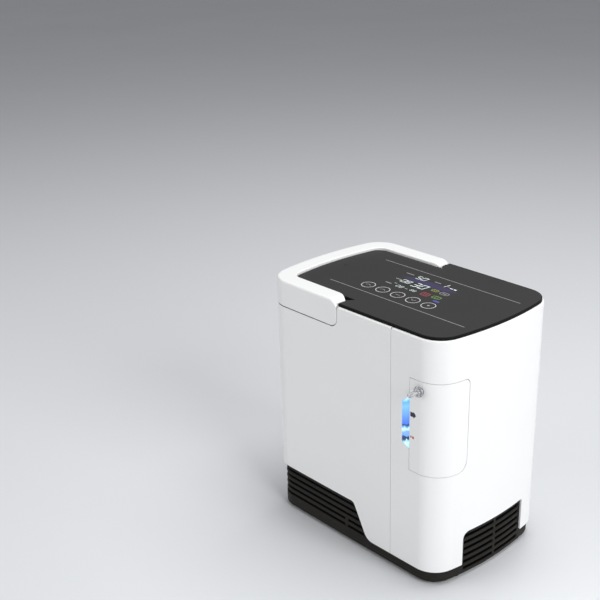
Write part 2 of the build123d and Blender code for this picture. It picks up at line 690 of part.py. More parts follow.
with BuildPart() as compressor_housing:
    with BuildSketch(SIDE.offset(-52)):
        with Locations((0, SHAFT_Z)):
            Circle(CRANKCASE_R)
    extrude(amount=144)
    with BuildSketch(SIDE.offset(-20)):
        with Locations((0, SHAFT_Z)):
            Circle(MOTOR_R)
    extrude(amount=80)
    add(box((-10, 50), (-34, 34), (23, 40)))
    with BuildSketch(CASE.offset(SHAFT_Z)):
        with Locations((CRANK_X[0], 0), (CRANK_X[1], 0)):
            Circle(15)
    extrude(amount=CYLINDER_Z - SHAFT_Z)
    # stator space, two crankcases and the bearing seats between them
    with BuildSketch(SIDE.offset(-14)):
        with Locations((0, SHAFT_Z)):
            Circle(STATOR_R)
    extrude(amount=68, mode=Mode.SUBTRACT)
    for crank_x in CRANK_X:
        with BuildSketch(SIDE.offset(crank_x - 13)):
            with Locations((0, SHAFT_Z)):
                Circle(29)
        extrude(amount=26, mode=Mode.SUBTRACT)
        with BuildSketch(CASE.offset(SHAFT_Z)):
            with Locations((crank_x, 0)):
                Circle(BORE_R)
        extrude(amount=60, mode=Mode.SUBTRACT)
    with BuildSketch(SIDE.offset(-60)):
        with Locations((0, SHAFT_Z)):
            Circle(SHAFT_R + RUNNING)
    extrude(amount=160, mode=Mode.SUBTRACT)
save(compressor_housing, "compressor_housing")

with BuildPart() as compressor_rotor:
    with BuildSketch(SIDE.offset(-58)):
        with Locations((0, SHAFT_Z)):
            Circle(SHAFT_R)
    extrude(amount=156)
    with BuildSketch(SIDE.offset(-8)):
        with Locations((0, SHAFT_Z)):
            Circle(ROTOR_R)
    extrude(amount=56)
    for crank_x, throw in zip(CRANK_X, (THROW, -THROW)):
        with BuildSketch(SIDE.offset(crank_x - 5)):
            with Locations((0, SHAFT_Z + throw)):
                Circle(12)
        extrude(amount=10)
save(compressor_rotor, "compressor_rotor")

with BuildPart() as motor_stator:
    with BuildSketch(SIDE.offset(-10)):
        with Locations((0, SHAFT_Z)):
            Circle(STATOR_R)
            Circle(ROTOR_R + 1, mode=Mode.SUBTRACT)
            with PolarLocations(30.5, 6):
                Circle(3.4, mode=Mode.SUBTRACT)
    extrude(amount=60)
save(motor_stator, "motor_stator")

for crank_x, name in zip(CRANK_X, ("left", "right")):
    with BuildPart() as cylinder:
        with BuildSketch(CASE.offset(CYLINDER_Z)):
            with Locations((crank_x, 0)):
                Circle(BARREL_R)
        extrude(amount=HEAD_Z - CYLINDER_Z)
        for fin in range(4):
            with BuildSketch(CASE.offset(CYLINDER_Z + 2 + FIN_PITCH * fin)):
                with Locations((crank_x, 0)):
                    Circle(FIN_R)
            extrude(amount=FIN_T)
        with BuildSketch(CASE.offset(CYLINDER_Z)):
            with Locations((crank_x, 0)):
                Circle(BORE_R)
        extrude(amount=HEAD_Z - CYLINDER_Z, mode=Mode.SUBTRACT)
    save(cylinder, f"{name}_cylinder")
    with BuildPart() as head:
        with BuildSketch(CASE.offset(HEAD_Z)):
            with Locations((crank_x, 0)):
                RectangleRounded(44, 44, 5)
        extrude(amount=HEAD_H)
        fillet(head.edges().group_by(Axis.Z)[-1], 2)
    save(head, f"{name}_cylinder_head")

with BuildPart() as pistons:
    for crank_x in CRANK_X:
        with BuildSketch(CASE.offset(CYLINDER_Z + 6)):
            with Locations((crank_x, 0)):
                Circle(BORE_R - RUNNING)
        extrude(amount=5)
        with BuildSketch(CASE.offset(SHAFT_Z + 19)):
            with Locations((crank_x, 0)):
                Rectangle(6, 9)
        extrude(amount=CYLINDER_Z + 6 - SHAFT_Z - 19)
save(pistons, "pistons")

with BuildPart() as cross_pipe:
    with BuildSketch(SIDE.offset(CRANK_X[0] + 22)):
        with Locations((0, HEAD_Z + 5)):
            Circle(3)
            Circle(2, mode=Mode.SUBTRACT)
    extrude(amount=CRANK_X[1] - CRANK_X[0] - 44)
save(cross_pipe, "cross_pipe")

# ---------------------------------------------------------------- cooling fan
with BuildPart() as fan_frame:
    with BuildSketch(SIDE.offset(FAN_X)):
        with Locations((0, FAN_Z)):
            RectangleRounded(FAN_SIZE, FAN_SIZE, 5)
            Circle(43, mode=Mode.SUBTRACT)
            with GridLocations(82.5, 82.5, 2, 2):
                Circle(2.2, mode=Mode.SUBTRACT)
    extrude(amount=FAN_T)
    with BuildSketch(SIDE.offset(FAN_X)):
        with Locations((0, FAN_Z)):
            Circle(16)
            for angle in (45, 135):
                Rectangle(100, 4, rotation=angle)
    extrude(amount=2)
    with BuildSketch(SIDE.offset(FAN_X)):
        with Locations((0, FAN_Z)):
            Circle(FAN_PIN_R)
    extrude(amount=18)
save(fan_frame, "fan_frame")

with BuildPart() as fan_impeller:
    with BuildSketch(SIDE.offset(FAN_X + 4)):
        with Locations((0, FAN_Z)):
            Circle(FAN_HUB_R)
    extrude(amount=18)
    with BuildSketch(SIDE.offset(FAN_X + 5)):
        with Locations((0, FAN_Z)):
            for blade in range(FAN_BLADES):
                with PolarLocations(27.5, 1, start_angle=blade * 360 / FAN_BLADES):
                    Rectangle(27, 5)
    extrude(amount=15)
    with BuildSketch(SIDE.offset(FAN_X + 4)):
        with Locations((0, FAN_Z)):
            Circle(FAN_PIN_R + RUNNING)
    extrude(amount=14.5, mode=Mode.SUBTRACT)
save(fan_impeller, "fan_impeller")

# ---------------------------------------------------------------- oxygen circuit
BED_Z = (FOOT_H + TRAY_FLOOR + 17, 226.0)
GAS_PORT_Y, GAS_PORT_Z = 14.0, 233.0
CAP_H, MANIFOLD_TOP = 12.0, 240.0
TANK_R = 24.0
TANK_Y, TANK_Z = 48.0, SHELF_Z + SHELF_T + TANK_R
HOSE_R, HOSE_BORE = 3.0, 2.0

for side, name in ((-1, "front"), (1, "rear")):
    with BuildPart() as bed:
        with BuildSketch(CASE.offset(BED_Z[0])):
            with Locations((BED_X, side * BED_Y)):
                Circle(BED_R)
        extrude(amount=BED_Z[1] - BED_Z[0])
        for cap_z in (BED_Z[0], BED_Z[1] - CAP_H):
            with BuildSketch(CASE.offset(cap_z)):
                with Locations((BED_X, side * BED_Y)):
                    Circle(BED_R + 2.5)
            extrude(amount=CAP_H)
        fillet(bed.edges().group_by(Axis.Z)[0], 1.5)
    save(bed, f"{name}_sieve_bed")
    with BuildPart() as valve:
        with BuildSketch(CASE.offset(MANIFOLD_TOP)):
            with Locations((BED_X, side * BED_Y)):
                Rectangle(34, 28)
        extrude(amount=8)
        with BuildSketch(CASE.offset(MANIFOLD_TOP + 8)):
            with Locations((BED_X, side * BED_Y)):
                Circle(11)
        extrude(amount=18)
        with BuildSketch(CASE.offset(MANIFOLD_TOP + 26)):
            with Locations((BED_X, side * BED_Y)):
                RegularPolygon(6, 6)
        extrude(amount=4)
    save(valve, f"{name}_valve")

with BuildPart() as valve_manifold:
    add(box((BED_X - 22, BED_X + 22), (-60, 60), (BED_Z[1], MANIFOLD_TOP)))
    with BuildSketch(SIDE.offset(-78)):
        with Locations((-GAS_PORT_Y, GAS_PORT_Z), (GAS_PORT_Y, GAS_PORT_Z)):
            Circle(2.5)
    extrude(amount=-20, mode=Mode.SUBTRACT)
save(valve_manifold, "valve_manifold")

with BuildPart() as equipment_shelf:
    add(case_block(SHELF_Z, SHELF_Z + SHELF_T, WALL + 0.3))
    add(box((-62, 81.5), (-100, 73.5), (SHELF_Z, SHELF_Z + SHELF_T)), mode=Mode.INTERSECT)
    with BuildSketch(CASE.offset(SHELF_Z)):
        with Locations((CRANK_X[0], -GAS_PORT_Y)):
            Circle(7)
    extrude(amount=SHELF_T, mode=Mode.SUBTRACT)
save(equipment_shelf, "equipment_shelf")

with BuildPart() as oxygen_tank:
    with BuildSketch(SIDE.offset(-50)):
        with Locations((TANK_Y, TANK_Z)):
            Circle(TANK_R)
    extrude(amount=118)
    fillet(oxygen_tank.edges(), 8)
    with BuildSketch(SIDE.offset(-56)):
        with Locations((TANK_Y, TANK_Z)):
            Circle(3)
    extrude(amount=8)
save(oxygen_tank, "oxygen_tank")

with BuildPart() as flow_regulator:
    add(box((50, 76), (-14, 14), (SHELF_Z + SHELF_T, SHELF_Z + SHELF_T + 26)))
    with BuildSketch(CASE.offset(SHELF_Z + SHELF_T + 26)):
        with Locations((63, 0)):
            Circle(9)
    extrude(amount=12)
save(flow_regulator, "flow_regulator")

with BuildPart() as exhaust_muffler:
    with BuildSketch(CASE.offset(150)):
        with Locations((-55, 0)):
            Circle(11)
    extrude(amount=60)
    fillet(exhaust_muffler.edges(), 3)
save(exhaust_muffler, "exhaust_muffler")

feed_hose = tube(
    [(CRANK_X[0], -GAS_PORT_Y, HEAD_Z + HEAD_H), (CRANK_X[0], -GAS_PORT_Y, GAS_PORT_Z),
     (-78, -GAS_PORT_Y, GAS_PORT_Z)],
    16, 4.0, 2.5,
)
save(feed_hose, "feed_hose")

oxygen_hose = tube(
    [(-78, GAS_PORT_Y, GAS_PORT_Z), (-64, GAS_PORT_Y, GAS_PORT_Z), (-64, TANK_Y, GAS_PORT_Z),
     (-64, TANK_Y, TANK_Z), (-56, TANK_Y, TANK_Z)],
    [7, 12, 7], HOSE_R, HOSE_BORE,
)
save(oxygen_hose, "oxygen_hose")

outlet_hose = tube(
    [(63, 0, SHELF_Z + SHELF_T + 38), (63, 0, PORT_Z), (63, PORT_Y, PORT_Z),
     (BAY_X[0], PORT_Y, PORT_Z)],
    14, HOSE_R, HOSE_BORE,
)
save(outlet_hose, "outlet_hose")

# ---------------------------------------------------------------- electronics
POWER_Z = 153.0
POWER_TOP = POWER_Z + BOARD_T

with BuildPart() as power_board:
    add(box((-48, 44), (-84, -20), (POWER_Z, POWER_TOP)))
    add(box((-44, -8), (-78, -44), (POWER_TOP, 180)))
    with BuildSketch(CASE.offset(POWER_TOP)):
        with Locations((8, -66), (24, -66), (8, -48)):
            Circle(7)
    extrude(amount=24)
    add(box((28, 42), (-52, -24), (POWER_TOP, 172)))
    with BuildSketch(CASE.offset(SHELF_Z + SHELF_T)):
        with Locations((-44, -80), (-44, -24), (40, -80), (40, -24)):
            Circle(2.5)
    extrude(amount=6)
save(power_board, "power_board")

with BuildPart() as control_board:
    add(box((-40, 60), (-84, -82.4), (196, 262)))
    add(box((-20, 4), (-82.4, -80), (220, 244)))
    add(box((20, 32), (-82.4, -76), (204, 232)))
    add(box((-36, 56), (-82.4, -72), (250, 258)))
save(control_board, "control_board")

# ---------------------------------------------------------------- rear wall fittings
with BuildPart() as mains_inlet:
    with BuildSketch(FRONT.offset(-(HALF_DEPTH - REAR_SINK))):
        with Locations((ROCKER_X, INLET_Z)):
            RectangleRounded(INLET_HOLE[0] - GAP, INLET_HOLE[1] - GAP, 2)
    extrude(amount=22)
    with BuildSketch(FRONT.offset(-(HALF_DEPTH - REAR_SINK))):
        with Locations((ROCKER_X, INLET_Z)):
            Rectangle(24.6, 16.8)
    extrude(amount=17, mode=Mode.SUBTRACT)
    with BuildSketch(FRONT.offset(-(HALF_DEPTH - 21))):
        with Locations((-7, -4), (0, -2), (7, -4)):
            with Locations((ROCKER_X, INLET_Z)):
                Rectangle(2, 4)
    extrude(amount=-16)
save(mains_inlet, "mains_inlet")

with BuildPart() as switch_bezel:
    with BuildSketch(FRONT.offset(-(HALF_DEPTH - REAR_SINK))):
        with Locations((ROCKER_X, ROCKER_Z)):
            Rectangle(ROCKER_HOLE[0] - GAP, ROCKER_HOLE[1] - GAP)
            Rectangle(13, 19.6, mode=Mode.SUBTRACT)
    extrude(amount=16)
    with BuildSketch(FRONT.offset(-(HALF_DEPTH - 16))):
        with Locations((ROCKER_X, ROCKER_Z)):
            Rectangle(ROCKER_HOLE[0] - GAP, ROCKER_HOLE[1] - GAP)
    extrude(amount=2)
    with BuildSketch(SIDE.offset(ROCKER_X - ROCKER_W / 2 - 1.3)):
        with Locations((ROCKER_Y, ROCKER_Z)):
            Circle(ROCKER_PIN_R + 0.05)
    extrude(amount=ROCKER_W + 2.6, mode=Mode.SUBTRACT)
save(switch_bezel, "switch_bezel")

ROCKER = Plane(
    (ROCKER_X - ROCKER_W / 2, CENTRE_Y + ROCKER_Y, ROCKER_Z),
    x_dir=(0, cos(radians(ROCKER_TILT)), sin(radians(ROCKER_TILT))),
    z_dir=(1, 0, 0),
)
with BuildPart() as power_rocker:
    with BuildSketch(ROCKER):
        with BuildLine():
            Polyline(
                (-4.5, -5), (1.2, -8.6), (3.4, -8.6), (2.2, 0), (3.4, 8.6), (1.2, 8.6), (-4.5, 5),
                close=True,
            )
        make_face()
    extrude(amount=ROCKER_W)
    with BuildSketch(SIDE.offset(ROCKER_X - ROCKER_W / 2 - 1.1)):
        with Locations((ROCKER_Y, ROCKER_Z)):
            Circle(ROCKER_PIN_R)
    extrude(amount=ROCKER_W + 2.2)
save(power_rocker, "power_rocker")

SLOT_ROWS, SLOT_PITCH, SLOT_L, SLOT_H = 9, 8.5, 31.0, 3.2

with BuildPart() as filter_cover:
    add(case_wall(FILTER_Z - 60, FILTER_Z + 60, 0.2, WALL))
    with BuildSketch(FRONT.offset(-70)):
        with Locations((FILTER_X, FILTER_Z)):
            RectangleRounded(FILTER_W - 2 * GAP, FILTER_H - 2 * GAP, FILTER_R - GAP)
    extrude(amount=-60, mode=Mode.INTERSECT)
    with BuildSketch(FRONT.offset(-70)):
        with Locations((FILTER_X, FILTER_Z)):
            with GridLocations(SLOT_L + 5, SLOT_PITCH, 2, SLOT_ROWS):
                SlotOverall(SLOT_L, SLOT_H)
    extrude(amount=-60, mode=Mode.SUBTRACT)
save(filter_cover, "filter_cover")

with BuildPart() as filter_foam:
    add(box(
        (FILTER_X - 38, FILTER_X + 38), (84.6, 91.4), (FILTER_Z - 44, FILTER_Z + 44),
    ))
save(filter_foam, "filter_foam")

with BuildPart() as intake_box:
    add(box((FILTER_X - 41, FILTER_X + 41), (74, 91.4), (FILTER_Z - 47, FILTER_Z + 47)))
    add(box((FILTER_X - 38.1, FILTER_X + 38.1), (78, 100), (FILTER_Z - 44.1, FILTER_Z + 44.1)),
        mode=Mode.SUBTRACT)
save(intake_box, "intake_box")
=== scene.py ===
"""Looks of a home oxygen concentrator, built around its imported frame.

A white drafted case with bowed walls stands on a louvred black base. A dark glass touch panel
nests inside a folding carry handle, and a humidifier with a lit level window fills one corner.
Everything is in metres, +Z up, with the control side facing -Y.
"""

import json
import logging
import math
from dataclasses import dataclass
from enum import Enum
from itertools import chain, zip_longest
from typing import Callable, Sequence

import bpy
import numpy as np
from mathutils import Matrix, Vector
from mathutils.geometry import delaunay_2d_cdt

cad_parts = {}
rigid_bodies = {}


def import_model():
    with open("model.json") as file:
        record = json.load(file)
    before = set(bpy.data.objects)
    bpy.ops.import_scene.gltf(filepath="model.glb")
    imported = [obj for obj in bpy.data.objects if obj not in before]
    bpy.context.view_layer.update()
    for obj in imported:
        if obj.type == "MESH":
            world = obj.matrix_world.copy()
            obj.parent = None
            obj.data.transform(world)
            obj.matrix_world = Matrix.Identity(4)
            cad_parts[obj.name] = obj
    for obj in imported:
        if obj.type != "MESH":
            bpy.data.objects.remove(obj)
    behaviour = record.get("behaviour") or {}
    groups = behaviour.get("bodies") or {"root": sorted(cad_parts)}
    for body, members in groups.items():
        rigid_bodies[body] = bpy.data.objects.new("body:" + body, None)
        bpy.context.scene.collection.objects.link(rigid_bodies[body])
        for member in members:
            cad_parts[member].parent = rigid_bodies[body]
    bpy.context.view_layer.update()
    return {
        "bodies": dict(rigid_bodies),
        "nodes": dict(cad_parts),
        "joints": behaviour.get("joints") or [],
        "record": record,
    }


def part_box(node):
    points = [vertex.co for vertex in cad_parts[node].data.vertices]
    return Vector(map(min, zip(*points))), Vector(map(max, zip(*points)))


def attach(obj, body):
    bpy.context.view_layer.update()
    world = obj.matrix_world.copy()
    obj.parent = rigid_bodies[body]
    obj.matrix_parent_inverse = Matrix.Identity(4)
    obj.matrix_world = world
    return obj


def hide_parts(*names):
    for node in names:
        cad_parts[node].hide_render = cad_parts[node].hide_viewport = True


logging.basicConfig(level=logging.INFO, format="%(message)s")
LOG = logging.getLogger("concentrator")

MM = 0.001
ROUNDING_STEPS = 4
TINY_AREA = 1e-14
WELD = 1e-8
CLEAR_OF_RIM = 1.2 * MM
SHARP = math.radians(40)
FINE_SHARE = 0.35
MIXED_RANGE = (0.45, 0.9)
COAT_ROUGHNESS = 0.06
WINDOW_LOW, WINDOW_HIGH = 167.4 * MM, 231.8 * MM
Colour = tuple[float, float, float]
Point = tuple[float, float]
Source = bpy.types.NodeSocket | float | Sequence[float]


# ------------------------------------------------------------------ outlines in two dimensions
def unit(vector: np.ndarray) -> np.ndarray:
    """Scale each row to length one."""
    return vector / np.linalg.norm(vector, axis=-1, keepdims=True)


def rounded(corners: Sequence[tuple[float, float, float]], steps: int = 8) -> np.ndarray:
    """Closed outline with its corners rounded.

    Each corner gives way to an arc tangent to both of its edges: the arc's centre lies on the
    corner's bisector, at the radius divided by the sine of half the corner's angle.

    Args:
        corners: (u, v, radius) of each corner, in order.
        steps: points on each arc.

    Returns:
        Outline points, one row each.
    """
    points = np.array([corner[:2] for corner in corners], float)
    pieces = []
    for index, (_, _, radius) in enumerate(corners):
        here = points[index]
        if radius <= 0:
            pieces.append(here[None])
            continue
        back = unit(points[index - 1] - here)
        ahead = unit(points[(index + 1) % len(points)] - here)
        half = 0.5 * math.acos(float(np.clip(back @ ahead, -1, 1)))
        centre = here + unit(back + ahead) * radius / math.sin(half)
        start = here + back * radius / math.tan(half) - centre
        stop = here + ahead * radius / math.tan(half) - centre
        first = math.atan2(start[1], start[0])
        turn = (math.atan2(stop[1], stop[0]) - first + math.pi) % (2 * math.pi) - math.pi
        angle = first + turn * np.linspace(0, 1, steps)
        pieces.append(centre + radius * np.column_stack([np.cos(angle), np.sin(angle)]))
    return np.concatenate(pieces)


def rectangle(centre: Point, width: float, height: float, radius: float = 0.0) -> np.ndarray:
    """Closed rectangle about a centre, with its corners rounded."""
    signs = ((-1, -1), (1, -1), (1, 1), (-1, 1))
    return rounded([(centre[0] + a * width / 2, centre[1] + b * height / 2, radius) for a, b in signs])


def circle(centre: Point, radius: float, steps: int = 40) -> np.ndarray:
    """Closed circle: the centre plus the radius times the cosine and sine of an even turn."""
    angle = np.linspace(0, 2 * math.pi, steps, endpoint=False)
    return np.array(centre) + radius * np.column_stack([np.cos(angle), np.sin(angle)])


def resample(loop: np.ndarray, step: float) -> np.ndarray:
    """Divide each edge of a closed outline evenly: its start plus even fractions of its length.

    Args:
        loop: outline points.
        step: the longest length that an edge may keep.

    Returns:
        The outline with its new points.
    """
    onward = np.roll(loop, -1, axis=0) - loop
    parts = np.maximum(1, np.ceil(np.linalg.norm(onward, axis=1) / step)).astype(int)
    edge = np.repeat(np.arange(len(loop)), parts)
    first = np.repeat(np.cumsum(parts) - parts, parts)
    fraction = (np.arange(parts.sum()) - first) / parts[edge]
    return loop[edge] + onward[edge] * fraction[:, None]


def turned(loop: np.ndarray, hole: bool) -> np.ndarray:
    """Order an outline so that the material is on its left: the sign of its area decides.

    Args:
        loop: outline points.
        hole: whether the outline bounds an opening.

    Returns:
        The same points, anticlockwise, or clockwise for a hole.
    """
    ahead = np.roll(loop, -1, axis=0)
    area = float(np.sum(loop[:, 0] * ahead[:, 1] - ahead[:, 0] * loop[:, 1]))
    return loop[::-1].copy() if (area < 0) != hole else loop


def inward(loop: np.ndarray) -> np.ndarray:
    """Mitred direction into the material: the sum of two left normals over one plus their product.

    Args:
        loop: outline points, with the material on their left.

    Returns:
        One direction for each point, longer at a corner so that an even margin stays even.
    """
    edge = unit(np.roll(loop, -1, axis=0) - loop)
    left = np.column_stack([-edge[:, 1], edge[:, 0]])
    before = np.roll(left, 1, axis=0)
    return (left + before) / np.maximum(0.2, 1 + np.sum(left * before, axis=1))[:, None]


def enclosed(points: np.ndarray, loops: Sequence[np.ndarray]) -> np.ndarray:
    """Find the points in the material: a ray to the right crosses the outlines an odd number of times.

    Args:
        points: the points to test.
        loops: every outline of the material and of its openings.

    Returns:
        A mask with one value for each point.
    """
    crossings = np.zeros(len(points), int)
    for loop in loops:
        ahead = np.roll(loop, -1, axis=0)
        above = (loop[None, :, 1] > points[:, None, 1]) != (ahead[None, :, 1] > points[:, None, 1])
        rise = ahead[:, 1] - loop[:, 1]
        slope = (ahead[:, 0] - loop[:, 0]) / np.where(rise == 0, 1.0, rise)
        where = loop[None, :, 0] + (points[:, None, 1] - loop[None, :, 1]) * slope[None, :]
        crossings += np.sum(above & (points[:, None, 0] < where), axis=1)
    return crossings % 2 == 1


# ------------------------------------------------------------------ surfaces that outlines are laid on
@dataclass(frozen=True)
class BowedPlan:
    """Plan of the case: two long and two short bowed walls with tangent corner arcs.

    Each wall is a circle through its two ends and its crown, whose radius is the half chord
    squared plus the rise squared, over twice the rise. The plan is measured by arc length s,
    from the middle of the front wall, growing towards +X.
    """

    inset: float = 0.0
    corner: float = 31.8 * MM
    half_width: float = 144.5 * MM
    half_depth: float = 96.2 * MM
    end_x: float = 133.1 * MM
    end_y: float = 95.45 * MM

    @property
    def wall_radius(self) -> float:
        """Radius of the long walls, before the inset."""
        rise = self.half_depth - self.end_y
        return (self.end_x**2 + rise**2) / (2 * rise)

    @property
    def end_radius(self) -> float:
        """Radius of the short walls, before the inset."""
        rise = self.half_width - self.end_x
        return (self.end_y**2 + rise**2) / (2 * rise)

    def arcs(self) -> tuple[list[np.ndarray], list[float], list[float]]:
        """Three arcs of one quarter: the corner's centre lies where both walls' inner circles cross.

        Returns:
            The centres, the radii, and the angles at which the arcs start and stop.
        """
        wall = np.array([0.0, self.half_depth - self.wall_radius])
        end = np.array([self.half_width - self.end_radius, 0.0])
        near = self.wall_radius - self.inset - self.corner
        far = self.end_radius - self.inset - self.corner
        between = float(np.linalg.norm(end - wall))
        along = (near**2 - far**2 + between**2) / (2 * between)
        axis = (end - wall) / between
        aside = math.sqrt(near**2 - along**2) * np.array([axis[1], -axis[0]])
        middle = wall + along * axis + aside
        if middle[0] < 0:
            middle = wall + along * axis - aside
        first = math.atan2(*(middle - end)[::-1])
        second = math.atan2(*(middle - wall)[::-1])
        radii = [self.end_radius - self.inset, self.corner, self.wall_radius - self.inset]
        return [end, middle, wall], radii, [0.0, first, second, math.pi / 2]

    def lengths(self) -> np.ndarray:
        """Arc length at the end of each of the quarter's three arcs."""
        _, radii, angles = self.arcs()
        return np.cumsum(np.array(radii) * np.diff(angles))

    @property
    def quarter(self) -> float:
        """Arc length from the crown of one wall to the crown of the next."""
        return float(self.lengths()[-1])

    def first_quarter(self, t: np.ndarray) -> tuple[np.ndarray, np.ndarray]:
        """The quarter where x and y are positive: each point is its arc's centre plus radius times normal.

        Args:
            t: arc lengths past the end wall's crown.

        Returns:
            The points and their outward normals.
        """
        centres, radii, angles = self.arcs()
        ends = self.lengths()
        arc = np.clip(np.searchsorted(ends, t), 0, 2)
        begin = np.concatenate([[0.0], ends])[arc]
        radius = np.array(radii)[arc]
        angle = np.array(angles)[arc] + (t - begin) / radius
        normal = np.column_stack([np.cos(angle), np.sin(angle)])
        return np.array(centres)[arc] + normal * radius[:, None], normal

    def at(self, s: np.ndarray) -> tuple[np.ndarray, np.ndarray]:
        """The whole plan, whose quarters mirror each other.

        Args:
            s: arc lengths, of any sign.

        Returns:
            The points and their outward normals.
        """
        whole = self.quarter
        turn = np.floor(s / whole).astype(int) % 4
        part = s - np.floor(s / whole) * whole
        t = np.where(turn % 2 == 0, whole - part, part)
        point, normal = self.first_quarter(np.clip(t, 0, whole))
        sign = np.column_stack([np.where(turn < 2, 1, -1), np.where((turn == 1) | (turn == 2), 1, -1)])
        return point * sign, normal * sign

    def s_at_x(self, x: float) -> float:
        """Arc length of a point of the front half with this x, read from a fine table of x against s."""
        s = np.linspace(-self.quarter, self.quarter, 8001)
        return float(np.interp(x, self.at(s)[0][:, 0], s))

    def s_at_y(self, y: float) -> float:
        """Arc length of a point of the right half with this y, read from a fine table of y against s."""
        s = np.linspace(0, 2 * self.quarter, 8001)
        return float(np.interp(y, self.at(s)[0][:, 1], s))

    def stations(self, low: float, high: float, flat: float, tight: float) -> np.ndarray:
        """Arc lengths between two limits, far apart on the walls and close together round the corners.

        Args:
            low: lower limit, left out.
            high: upper limit, left out.
            flat: longest distance on the walls.
            tight: longest distance round the corners.

        Returns:
            The arc lengths in order.
        """
        end, corner, whole = self.lengths()
        breaks = np.array([0.0, whole - corner, whole - end, whole])
        found = []
        for quarter in range(-4, 4):
            marks = breaks if quarter % 2 == 0 else whole - breaks[::-1]
            for index, (start, stop) in enumerate(zip(marks, marks[1:])):
                count = max(2, math.ceil((stop - start) / (tight if index == 1 else flat)) + 1)
                found.append(quarter * whole + np.linspace(start, stop, count)[:-1])
        every = np.concatenate(found)
        return every[(every > low) & (every < high)]


class Surface:
    """Something an outline is laid on, by two coordinates and a depth below it."""

    def place(self, flat: np.ndarray, depth: np.ndarray) -> np.ndarray:
        """Points in space of rows (u, v), each pushed in by its depth."""
        raise NotImplementedError

    def axes(self, flat: np.ndarray) -> tuple[np.ndarray, np.ndarray, np.ndarray]:
        """Unit vectors along u, along v and outwards at rows (u, v)."""
        raise NotImplementedError

    def lattice(self, low: np.ndarray, high: np.ndarray, cell: float) -> np.ndarray:
        """Rows (u, v) that fill the box between two corners."""
        raise NotImplementedError


@dataclass(frozen=True)
class CaseWall(Surface):
    """Outer face of the case: u is arc length round the plan, v is height.

    A point is the plan's point, moved in along its normal by its depth and by the draft, which
    grows evenly from nothing at the top to its full value at the floor.
    """

    plan: BowedPlan
    top: float
    centre_y: float
    draft: float = 2.3 * MM
    corner_cell: float = 2.4 * MM

    def place(self, flat: np.ndarray, depth: np.ndarray) -> np.ndarray:
        """Points in space: the plan's point less its normal times depth and draft together.

        Args:
            flat: rows (arc length, height).
            depth: depth of each point below the face.

        Returns:
            One point for each row.
        """
        point, normal = self.plan.at(flat[:, 0])
        inset = depth + self.draft * (self.top - flat[:, 1]) / self.top
        plan = point - normal * inset[:, None] + np.array([0.0, self.centre_y])
        return np.column_stack([plan, flat[:, 1]])

    def axes(self, flat: np.ndarray) -> tuple[np.ndarray, np.ndarray, np.ndarray]:
        """Unit vectors of the wall, which leans by its draft over its height.

        Args:
            flat: rows (arc length, height).

        Returns:
            The vectors round the plan, up the wall and outwards, for each row.
        """
        _, normal = self.plan.at(flat[:, 0])
        zero = np.zeros(len(flat))
        round_plan = np.column_stack([-normal[:, 1], normal[:, 0], zero])
        lean = self.draft / self.top
        up = unit(np.column_stack([normal * lean, zero + 1]))
        out = unit(np.column_stack([normal, zero - lean]))
        return round_plan, up, out

    def lattice(self, low: np.ndarray, high: np.ndarray, cell: float) -> np.ndarray:
        """Stations round the plan crossed with even heights.

        Args:
            low: least arc length and height.
            high: greatest arc length and height.
            cell: distance between neighbours on the flatter stretches.

        Returns:
            Rows (arc length, height).
        """
        s = self.plan.stations(low[0], high[0], cell, self.corner_cell)
        z = np.linspace(low[1], high[1], max(2, round((high[1] - low[1]) / cell) + 1))[1:-1]
        return np.stack(np.meshgrid(s, z), axis=-1).reshape(-1, 2)


@dataclass(frozen=True)
class Level(Surface):
    """Flat horizontal face at one height: u is x and v is y, counted from the case's middle."""

    height: float
    centre_y: float

    def place(self, flat: np.ndarray, depth: np.ndarray) -> np.ndarray:
        """Points in space of rows (x, y), each below the face by its depth."""
        return np.column_stack([flat[:, 0], flat[:, 1] + self.centre_y, self.height - depth])

    def axes(self, flat: np.ndarray) -> tuple[np.ndarray, np.ndarray, np.ndarray]:
        """The frame's own axes."""
        ones = np.ones((len(flat), 1))
        return ones * (1, 0, 0), ones * (0, 1, 0), ones * (0, 0, 1)

    def lattice(self, low: np.ndarray, high: np.ndarray, cell: float) -> np.ndarray:
        """Even rows and columns.

        Args:
            low: least x and y.
            high: greatest x and y.
            cell: distance between neighbours.

        Returns:
            Rows (x, y).
        """
        counts = np.maximum(2, np.round((high - low) / cell)).astype(int)
        x, y = (np.linspace(a, b, n + 1)[1:-1] for a, b, n in zip(low, high, counts))
        return np.stack(np.meshgrid(x, y), axis=-1).reshape(-1, 2)


# ------------------------------------------------------------------ solids
@dataclass
class Shape:
    """Vertices and faces on their way to becoming one piece, with a normal for each vertex if known."""

    verts: np.ndarray
    faces: list[np.ndarray]
    normals: np.ndarray | None = None


def strips(first: np.ndarray, second: np.ndarray, sizes: Sequence[int]) -> np.ndarray:
    """Quads between two rings of vertex numbers, each closed loop on its own.

    Args:
        first: numbers of one ring, loop after loop.
        second: numbers of the ring beside it.
        sizes: number of points in each loop.

    Returns:
        Rows of four vertex numbers.
    """
    quads = []
    for start, size in zip(np.cumsum(sizes) - sizes, sizes):
        a, b = first[start : start + size], second[start : start + size]
        quads.append(np.column_stack([np.roll(a, -1), a, b, np.roll(b, -1)]))
    return np.concatenate(quads)


